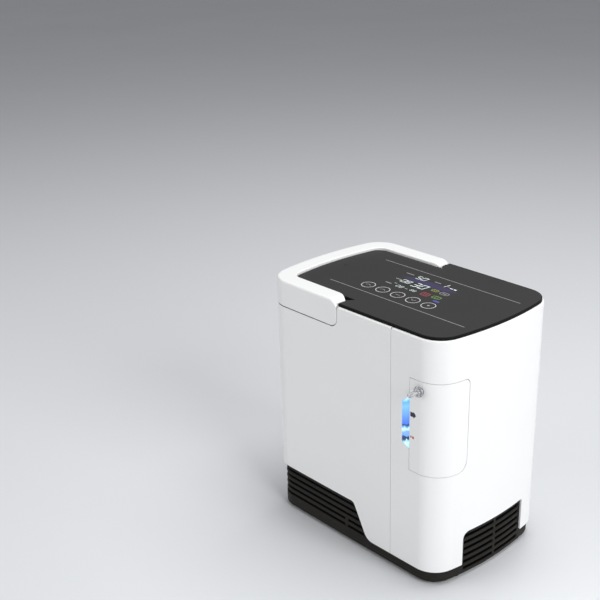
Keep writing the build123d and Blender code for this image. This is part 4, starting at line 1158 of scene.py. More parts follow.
@dataclass(frozen=True)
class WhiteCase:
    """The two halves of the case, the humidifier's door opening and the louvre openings."""

    layout: Layout
    split: float = 0.2 * MM
    handle_gap: float = 0.9 * MM
    rim: float = 2.1 * MM
    edge: float = 0.35 * MM
    slope_top: float = 6.8 * MM
    slope_low: float = 29.0 * MM
    foot_round: float = 14.0 * MM
    step_round: float = 6.0 * MM
    heel: float = 11.7 * MM
    filter_centre: tuple[float, float] = (-42.0 * MM, 190.0 * MM)
    filter_size: tuple[float, float] = (84.0 * MM, 96.0 * MM)
    filter_round: float = 6.0 * MM
    rocker: tuple[float, float, float, float] = (100.0 * MM, 92.0 * MM, 17.0 * MM, 23.0 * MM)
    inlet: tuple[float, float, float, float] = (100.0 * MM, 50.0 * MM, 29.0 * MM, 22.0 * MM)
    grille_front: float = -51.5 * MM
    grille_rear: float = 54.4 * MM
    cover_x: float = 94.3 * MM
    cover_y: float = -51.0 * MM
    cover_low: float = 141.3 * MM
    cover_high: float = 254.0 * MM
    cover_low_round: float = 13.0 * MM
    cover_high_round: float = 6.0 * MM
    window_x: float = 83.5 * MM
    window_drop: float = 9.5 * MM
    window_rise: float = 5.6 * MM
    # painted shade strips in the gaps: their width, rim and depth
    shade_strip_width: float = 0.34 * MM
    shade_strip_edge: float = 0.04 * MM
    shade_strip_depth: float = 0.6 * MM

    def edges(self, rim: np.ndarray) -> np.ndarray:
        """Rim radius of the shells: larger along the top edge, small everywhere else."""
        return np.where(rim[:, 1] > self.layout.shell_top - 0.2 * MM, self.rim, self.edge)

    def cover_outline(self, gap: float) -> np.ndarray:
        """Outline of the humidifier's door: square at the front, rounded at its rear corners.

        Args:
            gap: margin inside the opening.

        Returns:
            Rows (arc length, height).
        """
        plan = self.layout.wall.plan
        front, rear = plan.s_at_x(self.cover_x) + gap, plan.s_at_y(self.cover_y) - gap
        low, high = self.cover_low + gap, self.cover_high - gap
        rear_low, rear_high = (rear, low, self.cover_low_round), (rear, high, self.cover_high_round)
        return rounded([(front, low, 0), rear_low, rear_high, (front, high, 0)], 12)

    def window_corners(self, gap: float) -> list[Point]:
        """Corners of the level window, whose top and foot slant.

        Args:
            gap: margin inside the opening.

        Returns:
            The corners (x, height), from the upper right one.
        """
        edge, left = self.cover_x, self.window_x + gap
        low, high = WINDOW_LOW + gap, WINDOW_HIGH - gap
        return [(edge, high), (left, high - self.window_drop), (left, low + self.window_rise), (edge, low)]

    def left(self) -> Shape:
        """Left half: round the left end from the seam, with a stepped foot and the handle's recess on top.

        Returns:
            The shell, whose rear outline mirrors the front one about the middle of the left end.
        """
        lay, plan = self.layout, self.layout.wall.plan
        turn = -lay.around / 2
        front, recess = plan.s_at_x(lay.seam - self.split), plan.s_at_x(lay.handle_end + lay.gap)
        foot, step = plan.s_at_x(self.slope_low), plan.s_at_x(self.slope_top)
        floor = lay.handle_low - self.handle_gap
        half = [
            (step, lay.grille_top, self.step_round), (foot, lay.skirt, self.foot_round), (front, lay.skirt, 0),
            (front, lay.shell_top, 0), (recess, lay.shell_top, 0), (recess, floor, self.heel),
        ]
        corners = [*half[2:], *((turn - s, z, radius) for s, z, radius in half[::-1]), *half[:2]]
        x, z = self.filter_centre
        opening = rectangle((turn - plan.s_at_x(x), z), *self.filter_size, self.filter_round)
        return slab(lay.wall, [rounded(corners, 14)], lay.thickness, self.edges, [opening])

    def right(self) -> Shape:
        """Right half: the door and window opening, the louvre notch and the two rear openings.

        Returns:
            The shell.
        """
        lay, plan = self.layout, self.layout.wall.plan
        front = plan.s_at_x(lay.seam + self.split)
        back = lay.around / 2 - front
        notch_front, notch_rear = plan.s_at_y(self.grille_front), plan.s_at_y(self.grille_rear)
        corners = [
            (front, lay.skirt, 0), (notch_front, lay.skirt, 0.6 * MM), (notch_front, lay.grille_top, 9 * MM),
            (notch_rear, lay.grille_top, 3 * MM), (notch_rear, lay.skirt, 1.6 * MM), (back, lay.skirt, 0),
            (back, lay.shell_top, 0), (front, lay.shell_top, 0),
        ]
        radii = (0.0, 3 * MM, 3 * MM, 0.0)
        window = [(plan.s_at_x(x), z, radius) for (x, z), radius in zip(self.window_corners(0.0), radii)]
        opening = np.concatenate([self.cover_outline(0.0), rounded(window)])
        rear = [rectangle((lay.s_rear(x), z), w, h, 1 * MM) for x, z, w, h in (self.rocker, self.inlet)]
        return slab(lay.wall, [rounded(corners, 12)], lay.thickness, self.edges, [opening, *rear])

    def shade_strips(self) -> Shape:
        """Painted shade: dark strips deep in the gaps, under the handle, round the door and between the halves, stand
        for the shade in them.

        Returns:
            All the strips together.
        """
        lay, plan, width = self.layout, self.layout.wall.plan, self.shade_strip_width
        floor, end = lay.handle_low - self.handle_gap, plan.s_at_x(lay.handle_end + lay.gap)
        far, tight, high = -lay.around / 2 - end, self.heel - width, floor + 0.8 * MM
        under = rounded([
            (end, lay.shell_top, 0), (end, floor, self.heel), (far, floor, self.heel), (far, lay.shell_top, 0),
            (far + width, lay.shell_top, 0), (far + width, high, tight), (end - width, high, tight),
            (end - width, lay.shell_top, 0),
        ], 14)
        edge, deep = self.shade_strip_edge, self.shade_strip_depth
        parts = [slab(lay.wall, [under], 1.2 * MM, edge, sink=deep, cell=None)]
        outer, inner = self.cover_outline(0.0), self.cover_outline(width)
        parts.append(slab(lay.wall, [outer], 1.2 * MM, edge, [inner], sink=deep, cell=None, step=2 * MM))
        seam, height = plan.s_at_x(lay.seam), lay.shell_top - lay.skirt
        for s in (seam, lay.around / 2 - seam):
            line = rectangle((s, lay.skirt + height / 2), 2 * self.split - edge, height - 1 * MM)
            parts.append(slab(lay.wall, [line], 1.0 * MM, edge, sink=0.8 * MM, cell=None, step=10 * MM))
        return joined(parts)

    def build(self) -> None:
        """Make and dress both halves."""
        white = WHITE.material()
        # painted shade in the gaps between the parts
        piece("gap_painted_shade", self.shade_strips(), GAP_SHADE.material(), Body.CHASSIS)
        piece("case_left", self.left(), white, Body.CHASSIS, ["left_shell"])
        piece("case_right", self.right(), white, Body.CHASSIS, ["right_shell"])


@dataclass(frozen=True)
class Base:
    """Black base: a band on the floor, sloping louvres round the left end and a slotted right end."""

    layout: Layout
    case: WhiteCase
    inset: float = 2.9 * MM
    thickness: float = 2.4 * MM
    foot: float = 4.0 * MM
    rim: float = 1.2 * MM
    band_top: float = 19.0 * MM
    blade_low: float = 22.6 * MM
    blade_pitch: float = 8.2 * MM
    blade_height: float = 3.9 * MM
    slope: float = 1.2 * MM
    slot_low: float = 11.0 * MM
    slot_pitch: float = 8.5 * MM
    slot_height: float = 4.3 * MM
    end_y: float = 56.0 * MM
    blade_end: float = 34.0 * MM
    rib_x: float = -9.0 * MM

    def blade_span(self) -> Point:
        """Arc lengths between which the blades run, from the rear round the left end to the front."""
        front = self.layout.wall.plan.s_at_x(self.blade_end)
        return -self.layout.around / 2 - front, front

    def end_span(self) -> Point:
        """Arc lengths of the right end's two sides."""
        plan = self.layout.wall.plan
        return plan.s_at_y(-self.end_y), plan.s_at_y(self.end_y)

    def edges(self, rim: np.ndarray) -> np.ndarray:
        """Rim radius: large under the band, none where two stretches meet end to end.

        Args:
            rim: rows (arc length, height).

        Returns:
            One radius for each row.
        """
        low, high = self.end_span()
        meet = np.array([low, high, high - self.layout.around])
        ends = np.min(np.abs(rim[:, :1] - meet), axis=1) < 0.01 * MM
        return np.where(ends, 0.0, np.where(rim[:, 1] < self.foot + 0.1 * MM, self.rim, 0.4 * MM))

    def band(self) -> Shape:
        """Plain band from one side of the right end, round the rest of the case, to the other side.

        Returns:
            The band.
        """
        stop, start = self.end_span()
        start -= self.layout.around
        middle = ((start + stop) / 2, (self.foot + self.band_top) / 2)
        outline = rectangle(middle, stop - start, self.band_top - self.foot)
        return slab(self.layout.wall, [outline], self.thickness, self.edges, sink=self.inset)

    def right_end(self) -> Shape:
        """Slotted right end: six slots in two columns beside a bar.

        Returns:
            The slotted plate.
        """
        plan = self.layout.wall.plan
        low, high = self.end_span()
        top = self.layout.grille_top + 3.5 * MM
        outline = rectangle(((low + high) / 2, (self.foot + top) / 2), high - low, top - self.foot)
        slots = [
            rectangle((plan.s_at_y(y), self.slot_low + self.slot_pitch * row), width, self.slot_height, 0.8 * MM)
            for row in range(6)
            for y, width in ((-22.7 * MM, 49.4 * MM), (28.9 * MM, 46.4 * MM))
        ]
        return slab(self.layout.wall, [outline], 1.6 * MM, self.edges, slots, self.inset)

    def blades(self) -> list[Shape]:
        """Five sloping louvres round the left end, each proud at its foot.

        Returns:
            One bar for each louvre.
        """
        made = []
        for row in range(5):
            low = self.blade_low + self.blade_pitch * row
            high = low + self.blade_height
            section = rounded([
                (self.inset, low, 0.5 * MM), (self.inset + self.slope, high, 0.5 * MM),
                (self.inset + 2.6 * MM, high, 0.3 * MM), (self.inset + 1.6 * MM, low, 0.3 * MM),
            ], 4)
            made.append(bar(self.layout.wall, section, *self.blade_span()))
        return made

    def ribs(self) -> list[Shape]:
        """Uprights behind the blades, and the short ribs that break the two lowest slots.

        Returns:
            The two short ribs, then the three uprights.
        """
        around, low = self.layout.around, self.band_top
        front, (rear_end, front_end) = self.layout.wall.plan.s_at_x(self.rib_x), self.blade_span()
        short, full = self.blade_low + self.blade_pitch + 1 * MM, self.layout.grille_top + 3 * MM
        places = [
            (front, (low + short) / 2, 5 * MM, short, 0.7 * MM),
            (-around / 2 - front, (low + short) / 2, 5 * MM, short, 0.7 * MM),
            (front_end, (low + full) / 2 - 1 * MM, 8 * MM, full, 1.2 * MM),
            (rear_end, (low + full) / 2 - 1 * MM, 8 * MM, full, 1.2 * MM),
            (-around / 4, (low + full) / 2 - 1 * MM, 7 * MM, full, 1.2 * MM),
        ]
        return [
            slab(self.layout.wall, [rectangle((s, z), width, top - low + 2 * MM)], 2 * MM, sink=self.inset + deep)
            for s, z, width, top, deep in places
        ]

    def floor(self) -> Shape:
        """Bottom plate, which follows the plan a little inside the band.

        Returns:
            The plate.
        """
        plan = BowedPlan(self.inset + self.layout.wall.draft + 1.0 * MM, 27.0 * MM)
        outline = plan.at(plan.stations(-2 * plan.quarter, 2 * plan.quarter, 12 * MM, 3 * MM))[0]
        return slab(Level(self.foot + 3 * MM, self.layout.centre_y), [outline], 3 * MM - 0.05 * MM, 0.2 * MM, cell=None)

    def shade_sheets(self) -> list[Shape]:
        """Painted shade: near-black sheets set back behind the louvres of both ends stand for the dark inside of the
        case.

        Returns:
            The left sheet and the right one.
        """
        wall = self.layout.wall
        left = np.array([(5.8, 8.0), (5.8, 66.0), (6.6, 66.0), (6.6, 8.0)]) * MM
        right = np.array([(6.5, 7.5), (6.5, 60.0), (7.3, 60.0), (7.3, 7.5)]) * MM
        ends = wall.plan.s_at_y(-53 * MM), wall.plan.s_at_y(55 * MM)
        return [bar(wall, left, *self.blade_span()), bar(wall, right, *ends)]

    def build(self) -> None:
        """Make and dress the base."""
        parts = [self.band(), self.right_end(), *self.blades(), *self.ribs(), self.floor()]
        piece("base", joined(parts), BLACK.material(), Body.CHASSIS, ["base_tray"])
        # painted shade: near-black sheets behind the louvres
        piece("louvre_shade_sheets", joined(self.shade_sheets()), LOUVRE_SHADE.material(), Body.CHASSIS)


@dataclass(frozen=True)
class CarryHandle:
    """Folding handle: a section carried from one end, round the left of the case, to the other end.

    The section is a rounded rectangle between the case's outer face and the nest of the panel.
    Towards the ends its height follows two quarter circles, its sides close in on a small round,
    and its inner face swings outwards on an arc.
    """

    layout: Layout
    outer_round: float = 2.6 * MM
    inner_round: float = 1.3 * MM
    low_round: float = 0.9 * MM
    end_round: float = 2.6 * MM
    recess: float = 2.5 * MM
    recess_edge: float = 3.2 * MM
    recess_start: float = -44.0 * MM
    support: float = 0.7 * MM
    swing_start: float = -40.5 * MM
    swing_through: tuple[Point, ...] = ((-40.0 * MM, -0.3 * MM), (-26.0 * MM, 2.2 * MM), (-16.0 * MM, 8.0 * MM))
    reach: tuple[float, ...] = (16.0, 19.0, 23.0, 26.9, 27.1, 34.0, 45.0, 60.0)

    def stations(self, plan: BowedPlan, head: float) -> np.ndarray:
        """Where the section stands: close together on the rounded end and round the corner.

        Args:
            plan: the plan that the stations are measured on.
            head: radius of the rounded end.

        Returns:
            Arc lengths past the end wall's crown, from the handle's end to the middle of the left end.
        """
        end, corner, whole = plan.lengths()
        tip = self.layout.handle_end
        turn = np.linspace(math.pi / 2, 0, 18)
        straight = whole + np.concatenate([(tip - head) + head * np.sin(turn), tip - np.array(self.reach) * MM])
        rest = [(straight[-1], corner, 5), (corner, end, 15), (end, 0, 12)]
        return np.concatenate([straight, *(np.linspace(*span)[1:] for span in rest)])

    def section(self) -> np.ndarray:
        """Section of the handle, whose corners are quarter rounds.

        Returns:
            Rows (across, offset, up, rise): a share of the width plus a length, and a share of the height
            plus a length. A share of -1 marks the pocket under the handle.
        """
        steps = np.linspace(0, math.pi / 2, 6)
        cos, sin, ones = np.cos(steps), np.sin(steps), np.ones(6)
        r, q, b = self.outer_round, self.inner_round, self.low_round
        top_outer = np.column_stack([0 * ones, r * (1 - cos), ones, -r * (1 - sin)])
        top_inner = np.column_stack([ones, -q * (1 - sin), ones, -q * (1 - cos)])
        low_inner = np.column_stack([ones, -b * (1 - cos), 0 * ones, b * (1 - sin)])
        low_outer = np.column_stack([0 * ones, b * (1 - sin), 0 * ones, b * (1 - cos)])
        support, brim, inner_brim = self.support, self.recess_edge, self.recess_edge + 0.1 * MM
        return np.concatenate([
            [(0, 0, 0, b + support), (0, 0, 1, -r - support)], top_outer,
            [(0, r + support, 1, 0), (1, -q - support, 1, 0)], top_inner,
            [(1, 0, 1, -q - support), (1, 0, 0, b + support)], low_inner,
            [(1, -brim, 0, 0), (1, -inner_brim, -1, 0), (0, inner_brim, -1, 0), (0, brim, 0, 0)], low_outer,
        ])

    def swing(self, x: np.ndarray) -> np.ndarray:
        """How far the inner face swings out: to the circle through three points beside the nest.

        Args:
            x: places along the case.

        Returns:
            One distance for each place, nothing away from the ends.
        """
        through = np.array(self.swing_through)
        system = np.column_stack([2 * through, np.ones(3)])
        cx, cy, k = np.linalg.solve(system, np.sum(through**2, axis=1))
        below = np.sqrt(np.maximum(0, k + cx**2 + cy**2 - (x - cx) ** 2))
        return np.where(x > self.swing_start, np.maximum(0, cy - below), 0)

    def build(self) -> None:
        """Work out both halves of the sweep, mirror images of each other, and dress the handle."""
        lay = self.layout
        outer_plan, inner_plan = lay.wall.plan, BowedPlan(lay.nest_width, lay.nest_corner)
        height = lay.top - lay.handle_low
        head, heel, tip = 0.4 * height, 0.35 * height, lay.handle_end
        outer, normal = outer_plan.first_quarter(self.stations(outer_plan, head))
        inner, _ = inner_plan.first_quarter(self.stations(inner_plan, head))
        mirrored = (np.concatenate([rows * (-1, -1), (rows * (-1, 1))[-2::-1]]) for rows in (outer, inner, normal))
        outer, inner, normal = mirrored

        # at each station: how far the sides close in, and how high the top and the underside are
        x = outer[:, 0]
        near = np.clip(x - (tip - self.end_round), 0, self.end_round)
        pull = self.end_round - np.sqrt(self.end_round**2 - near**2)
        inner[:, 1] += np.sign(inner[:, 1]) * (self.swing(x) + 0.6 * pull)
        top = lay.top - head + np.sqrt(np.maximum(0, head**2 - np.maximum(0, x - (tip - head)) ** 2))
        low = lay.handle_low + heel - np.sqrt(np.maximum(0, heel**2 - np.maximum(0, x - (tip - heel)) ** 2))

        # the section, stretched between the outer face and the nest at every station
        section = self.section()
        pocket = section[:, 2] < 0
        up = np.where(pocket, 0, section[:, 2])
        rise = section[:, 3] + pocket * np.where(x < self.recess_start, self.recess, 0.0)[:, None]
        z = low[:, None] + (top - low)[:, None] * up + rise
        lean = lay.wall.draft * (lay.top - z) / lay.top
        outside = outer[:, None, :] - normal[:, None, :] * (lean + pull[:, None])[..., None]
        across = inner[:, None, :] - outside
        share, offset = section[:, 0][None, :, None], section[:, 1][None, :, None]
        plan = outside + across * share + unit(across) * offset
        points = np.concatenate([plan + np.array([0.0, lay.centre_y]), z[..., None]], axis=-1)
        piece("carry_handle", grid(points), WHITE.material(), Body.HANDLE, ["handle"])


class Sign(Enum):
    """Plain signs inside the keys."""

    UP = "chevron up"
    DOWN = "chevron down"
    BAR = "bar"
    DOT = "dot"


@dataclass(frozen=True)
class TouchPanel:
    """Smoked glass panel with its printed lines and keys, and the lit display below them."""

    layout: Layout
    inset: float = 2.3 * MM
    nest_gap: float = 0.6 * MM
    relief_depth: float = 6.5 * MM
    relief_length: float = 5.5 * MM
    edge: float = 1.1 * MM
    print_height: float = 0.05 * MM
    key_x: float = -34.2 * MM
    key_y: float = -28.4 * MM
    key_pitch: float = 23.3 * MM
    key_radius: float = 8.7 * MM
    stroke: float = 0.85 * MM
    rule_length: float = 206.0 * MM
    lean: float = 0.16
    receiver: Point = (-101.6 * MM, 0.0)

    def outline(self) -> np.ndarray:
        """Full width beyond the handle's ends, nested inside the handle, with a relief beside each end.

        Returns:
            Rows (x, y), anticlockwise from the handle's front end.
        """
        lay = self.layout
        broad = BowedPlan(self.inset, lay.wall.plan.corner - self.inset)
        nest = BowedPlan(lay.nest_width + self.nest_gap, lay.nest_corner)
        end = lay.handle_end + lay.gap
        start = broad.s_at_x(end)
        stop = 2 * broad.quarter - start
        right = broad.at(np.concatenate([[start], broad.stations(start, stop, 8 * MM, 1.5 * MM), [stop]]))[0]
        start = nest.s_at_x(end)
        stop = -2 * nest.quarter - start
        left = nest.at(np.concatenate([[stop], nest.stations(stop, start, 8 * MM, 0.8 * MM), [start]]))[0]
        inner = abs(left[-1, 1])
        relief = np.array([(end, inner + self.relief_depth), (end + self.relief_length, inner)])
        return np.concatenate([right, relief, left, relief[::-1] * (1, -1)])

    def top_face(self) -> Level:
        """The face that prints are laid on, a hair above the glass."""
        return Level(self.layout.panel_top + self.print_height, self.layout.centre_y)

    def printed(
        self, name: str, finish: Finish, outlines: Sequence[np.ndarray], holes: Sequence[np.ndarray] = ()
    ) -> None:
        """Lay a thin print on the panel."""
        shape = slab(self.top_face(), outlines, self.print_height, 0.01 * MM, holes, cell=None, step=4 * MM)
        piece(name, shape, finish.material(), Body.CHASSIS)

    def digit(self, centre: Point, width: float, height: float, lit: str) -> list[np.ndarray]:
        """Seven-segment figure that leans a little to the right.

        Args:
            centre: middle of the figure.
            width: width of the figure.
            height: height of the figure.
            lit: letters a to g of the segments that are lit, a at the top, then clockwise, g in the middle.

        Returns:
            One outline for each lit segment.
        """
        stroke, gap = 0.1 * height, 0.02 * height
        w, h = width / 2 - stroke / 2, height / 2 - stroke / 2
        tall, flat = (stroke, h + stroke / 2 - gap), (2 * w - stroke - 2 * gap, stroke)
        side = (h + stroke / 2 + gap) / 2
        places = {
            "a": (0, h, flat), "b": (w, side, tall), "c": (w, -side, tall), "d": (0, -h, flat),
            "e": (-w, -side, tall), "f": (-w, side, tall), "g": (0, 0, flat),
        }
        leaning = np.array([(1.0, 0.0), (self.lean, 1.0)])
        upright = (rectangle(places[letter][:2], *places[letter][2], 0.2 * stroke) for letter in lit)
        return [outline @ leaning + np.array(centre) for outline in upright]

    def sign(self, kind: Sign, centre: Point) -> np.ndarray:
        """Plain sign inside a key.

        Args:
            kind: which sign.
            centre: middle of the key.

        Returns:
            The sign's outline.
        """
        size, thin, rise = 3.6 * MM, 0.8 * MM, 1.2 * MM
        if kind is Sign.DOT:
            return circle(centre, 1.6 * MM, 20)
        if kind is Sign.BAR:
            return rectangle(centre, 1.9 * size, thin)
        peak = -rise if kind is Sign.DOWN else rise
        arm = np.array([(-size, -peak), (0, peak), (size, -peak)])
        return np.concatenate([arm, arm[::-1] + (0, thin * 1.3)]) + np.array(centre)

    def keys(self) -> None:
        """Five ring-shaped keys in a row, each with its sign, and the two long rules beside them."""
        places = [(self.key_x + k * self.key_pitch, self.key_y) for k in range(5)]
        self.printed("key_rings", INK_WHITE, [circle(p, self.key_radius, 72) for p in places],
                     [circle(p, self.key_radius - self.stroke, 72) for p in places])
        signs = (Sign.UP, Sign.UP, Sign.BAR, Sign.DOWN, Sign.DOT)
        self.printed("key_signs", INK_GREY, [self.sign(kind, place) for kind, place in zip(signs, places)])
        middles = ((24 * MM, -47.3 * MM), (23 * MM, 48 * MM))
        self.printed("rules", INK_GREY, [rectangle(middle, self.rule_length, 0.9 * MM) for middle in middles])

    def display(self) -> None:
        """Lit figures, small captions as plain bars, four coloured lamps and a grey frame.

        The tables hold millimetres: centre x, centre y, width, and height or the segments that are lit.
        """
        figures = (
            (-7.6, 30.0, 6.4, 9.5, "afgcd"), (0.6, 30.0, 6.4, 9.5, "abcdef"), (5.6, 9.6, 8.6, 13.0, "abgcd"),
            (17.0, 9.6, 8.6, 13.0, "abcdef"), (-13.4, 9.8, 6.0, 8.8, "abcdef"), (-6.0, 9.8, 6.0, 8.8, "abcdefg"),
            (-7.0, -7.2, 4.0, 5.6, "abcdef"), (-1.6, -7.2, 4.0, 5.6, "abcdefg"), (13.4, -6.6, 3.2, 4.4, "abcdefg"),
            (17.8, -6.6, 3.2, 4.4, "abcdefg"), (31.0, 32.0, 6.0, 9.5, "bc"),
        )
        units = ((43.0, 28.6, 4.6, 1.6), (48.6, 28.6, 3.6, 2.6))
        segments = [o for x, y, w, h, lit in figures for o in self.digit((x * MM, y * MM), w * MM, h * MM, lit)]
        self.printed("figures", LIT_WHITE, segments + [rectangle((x * MM, y * MM), w * MM, h * MM) for x, y, w, h in units])
        bars = ((-22.5, -7.2, 9), (-22, 10, 9), (-24, 32, 12), (19, 32.5, 9), (6, -7.6, 4), (-15, -2.4, 4), (36.8, 31, 3))
        self.printed("captions", INK_GREY, [rectangle((x * MM, y * MM), n * MM, 1.5 * MM) for x, y, n in bars])

        lamps = ((LIT_RED, 33.4, -5.4, 11.5, 9.0), (LIT_YELLOW, 33.8, 11.2, 10.0, 6.2), (LIT_GREEN, 49.4, -4.2, 12.0, 7.6))
        for finish, x, y, w, h in lamps:
            frame = rectangle((x * MM, y * MM), w * MM, h * MM, 2.6 * MM)
            hollow = rectangle((x * MM, y * MM), (w - 2.2) * MM, (h - 2.2) * MM, 1.2 * MM)
            self.printed(f"lamp_{finish.name}", finish, [frame], [hollow])
            strokes = [x * MM + side * 0.15 * w * MM for side in (-1, 1)]
            glyph = [rectangle((u, y * MM), 1.1 * MM, (h - 4.4) * MM) for u in strokes]
            self.printed(f"glyph_{finish.name}", finish, glyph)
        small = rectangle((57.0 * MM, -13.4 * MM), 9.0 * MM, 3.4 * MM, 1.2 * MM)
        self.printed(f"lamp_{LIT_BLUE.name}", LIT_BLUE, [small])

        middle = (48.2 * MM, 10.6 * MM)
        frame, hollow = rectangle(middle, 12 * MM, 7.4 * MM, 2.4 * MM), rectangle(middle, 10.2 * MM, 5.6 * MM, 1.6 * MM)
        self.printed("lamp_frame", INK_GREY, [frame, rectangle(middle, 5.6 * MM, 1.4 * MM)], [hollow])

    def build(self) -> None:
        """Make the glass, its prints and the receiver's dark dot."""
        lay = self.layout
        receiver = circle(self.receiver, 1.8 * MM, 24)
        face = Level(lay.panel_top, lay.centre_y)
        glass = slab(face, [self.outline()], lay.panel_thickness, self.edge, [receiver], cell=16 * MM)
        piece("glass_panel", glass, PANEL.material(), Body.CHASSIS, ["control_panel"])
        self.printed("receiver_ring", INK_BLACK, [circle(self.receiver, 2.8 * MM, 32)], [receiver])
        self.keys()
        self.display()


@dataclass(frozen=True)
class Humidifier:
    """Door, window, bottle's water and outlet at the front right corner."""

    layout: Layout
    case: WhiteCase
    wall: float = 2.3 * MM
    filled: float = 0.68
    spigot_x: float = 109.0 * MM
    spigot_z: float = 242.5 * MM

    def door(self) -> Shape:
        """Door that continues the case's face, with the hole for the outlet."""
        wall, outline = self.layout.wall, self.case.cover_outline(self.layout.gap)
        hole = circle((wall.plan.s_at_x(self.spigot_x), self.spigot_z), 5 * MM)
        return slab(wall, [outline], 2.4 * MM, 0.35 * MM, [hole], cell=8 * MM)

    def pane(self) -> Shape:
        """Lit pane, sunk a little in its opening."""
        wall, radii = self.layout.wall, (0.8 * MM, 3 * MM, 3 * MM, 0.8 * MM)
        places = zip(self.case.window_corners(0.15 * MM), radii)
        corners = [(wall.plan.s_at_x(x), z, radius) for (x, z), radius in places]
        return slab(wall, [rounded(corners)], 1.5 * MM, 0.3 * MM, sink=0.5 * MM, cell=3 * MM)

    def marks(self) -> None:
        """Level mark with its arrow, and a small low mark, printed on the door."""
        s = self.layout.wall.plan.s_at_x
        tail, neck, point = 96.0, 100.6, 104.4
        places = [
            (tail, 208.3), (neck, 208.3), (neck, 206.9), (point, 211.0), (neck, 215.1), (neck, 213.7), (tail, 213.7),
        ]
        arrow = np.array([(s(x * MM), z * MM) for x, z in places])
        tick = rectangle((s(97.2 * MM), 183.6 * MM), 1.4 * MM, 2.4 * MM)
        low = rectangle((s(100.2 * MM), 183.4 * MM), 2.8 * MM, 3.0 * MM)
        for name, finish, outlines in (("level_mark", INK_BLACK, [arrow, tick]), ("low_mark", INK_RED, [low])):
            shape = slab(self.layout.wall, outlines, 0.06 * MM, 0.01 * MM, sink=-0.04 * MM, cell=None)
            piece(name, shape, finish.material(), Body.HUMIDIFIER)

    def outlet(self) -> Shape:
        """Clear outlet: a neck, a rounded flange, a collar and a barbed tube, turned about its own axis.

        Returns:
            The outlet, with its bore.
        """
        tip = self.layout.centre_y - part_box("outlet_spigot")[0].y
        face = tip - 15.6 * MM
        profile = [
            (1.6, face - 14 * MM, 0), (3.9, face - 14 * MM, 0), (3.9, face, 0.2), (6.4, face, 0.9),
            (6.4, face + 2.6 * MM, 0.9), (4.6, face + 3.4 * MM, 0.3), (4.4, face + 5.2 * MM, 0.4),
            (2.6, face + 5.8 * MM, 0.3), (2.6, tip - 4.4 * MM, 0.2), (3.0, tip - 3.8 * MM, 0.2),
            (2.5, tip - 0.3 * MM, 0.2), (2.2, tip, 0.2), (1.6, tip, 0.1),
        ]
        corners = [(radius * MM, far, blend * MM) for radius, far, blend in profile]
        return revolved(rounded(corners, 5), (self.spigot_x, self.layout.centre_y, self.spigot_z))

    def water(self) -> Shape:
        """Water in the bottle, up to two thirds of its height.

        Returns:
            The water, clear of the bottle's walls and floor.
        """
        low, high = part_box("humidifier_bottle")
        middle = self.layout.centre_y
        left, right = low.x + self.wall, high.x - self.wall
        front, rear = low.y - middle + self.wall, high.y - middle - self.wall
        outline = rounded([
            (left, front, 3 * MM), (right, front, 22 * MM), (right, rear, 3 * MM), (left, rear, 3 * MM),
        ], 14)
        top = low.z + self.filled * (high.z - low.z)
        return slab(Level(top, middle), [outline], top - low.z - 2.9 * MM, 0.8 * MM, cell=None)

    def build(self) -> None:
        """Make and dress the humidifier."""
        ride, clear = Body.HUMIDIFIER, "clear_plastic"
        piece("humidifier_door", self.door(), WHITE.material(), ride, ["humidifier_cover"])
        piece("level_pane", self.pane(), WINDOW.material(), Body.CHASSIS, ["level_window"])
        piece("outlet", self.outlet(), SPIGOT.material(), ride, ["outlet_spigot"])
        piece("water", self.water(), WATER.material(), ride)
        self.marks()


@dataclass(frozen=True)
class RearWall:
    """Slotted air filter door on the rear wall."""

    layout: Layout
    case: WhiteCase
    rows: int = 9
    row_pitch: float = 8.5 * MM
    column_pitch: float = 36.0 * MM
    slot: tuple[float, float] = (31.0 * MM, 3.2 * MM)

    def build(self) -> None:
        """Make the door with its two columns of round-ended slots."""
        lay = self.layout
        x, z = self.case.filter_centre
        middle = -lay.around / 2 - lay.wall.plan.s_at_x(x)
        w, h = (size - 2 * lay.gap for size in self.case.filter_size)
        columns = [middle + side * self.column_pitch / 2 for side in (-1, 1)]
        heights = [z + (row - (self.rows - 1) / 2) * self.row_pitch for row in range(self.rows)]
        slots = [rectangle((s, height), *self.slot, 1.5 * MM) for height in heights for s in columns]
        outline = rectangle((middle, z), w, h, self.case.filter_round - lay.gap)
        shape = slab(lay.wall, [outline], 2.3 * MM, 0.5 * MM, slots, 0.2 * MM)
        piece("filter_door", shape, WHITE.material(), Body.FILTER, ["filter_cover"])


@dataclass(frozen=True)
class Inside:
    """Frame nodes that keep their own shape and only get a finish."""

    frame: dict

    def build(self) -> None:
        """Dress every node with the finish of its slot in the record."""
        for row in self.frame["record"]["subparts"]:
            mesh = self.frame["nodes"][row["node"]].data
            mesh.materials.clear()
            mesh.materials.append(SLOT_FINISH[row["material_slot"]].material())


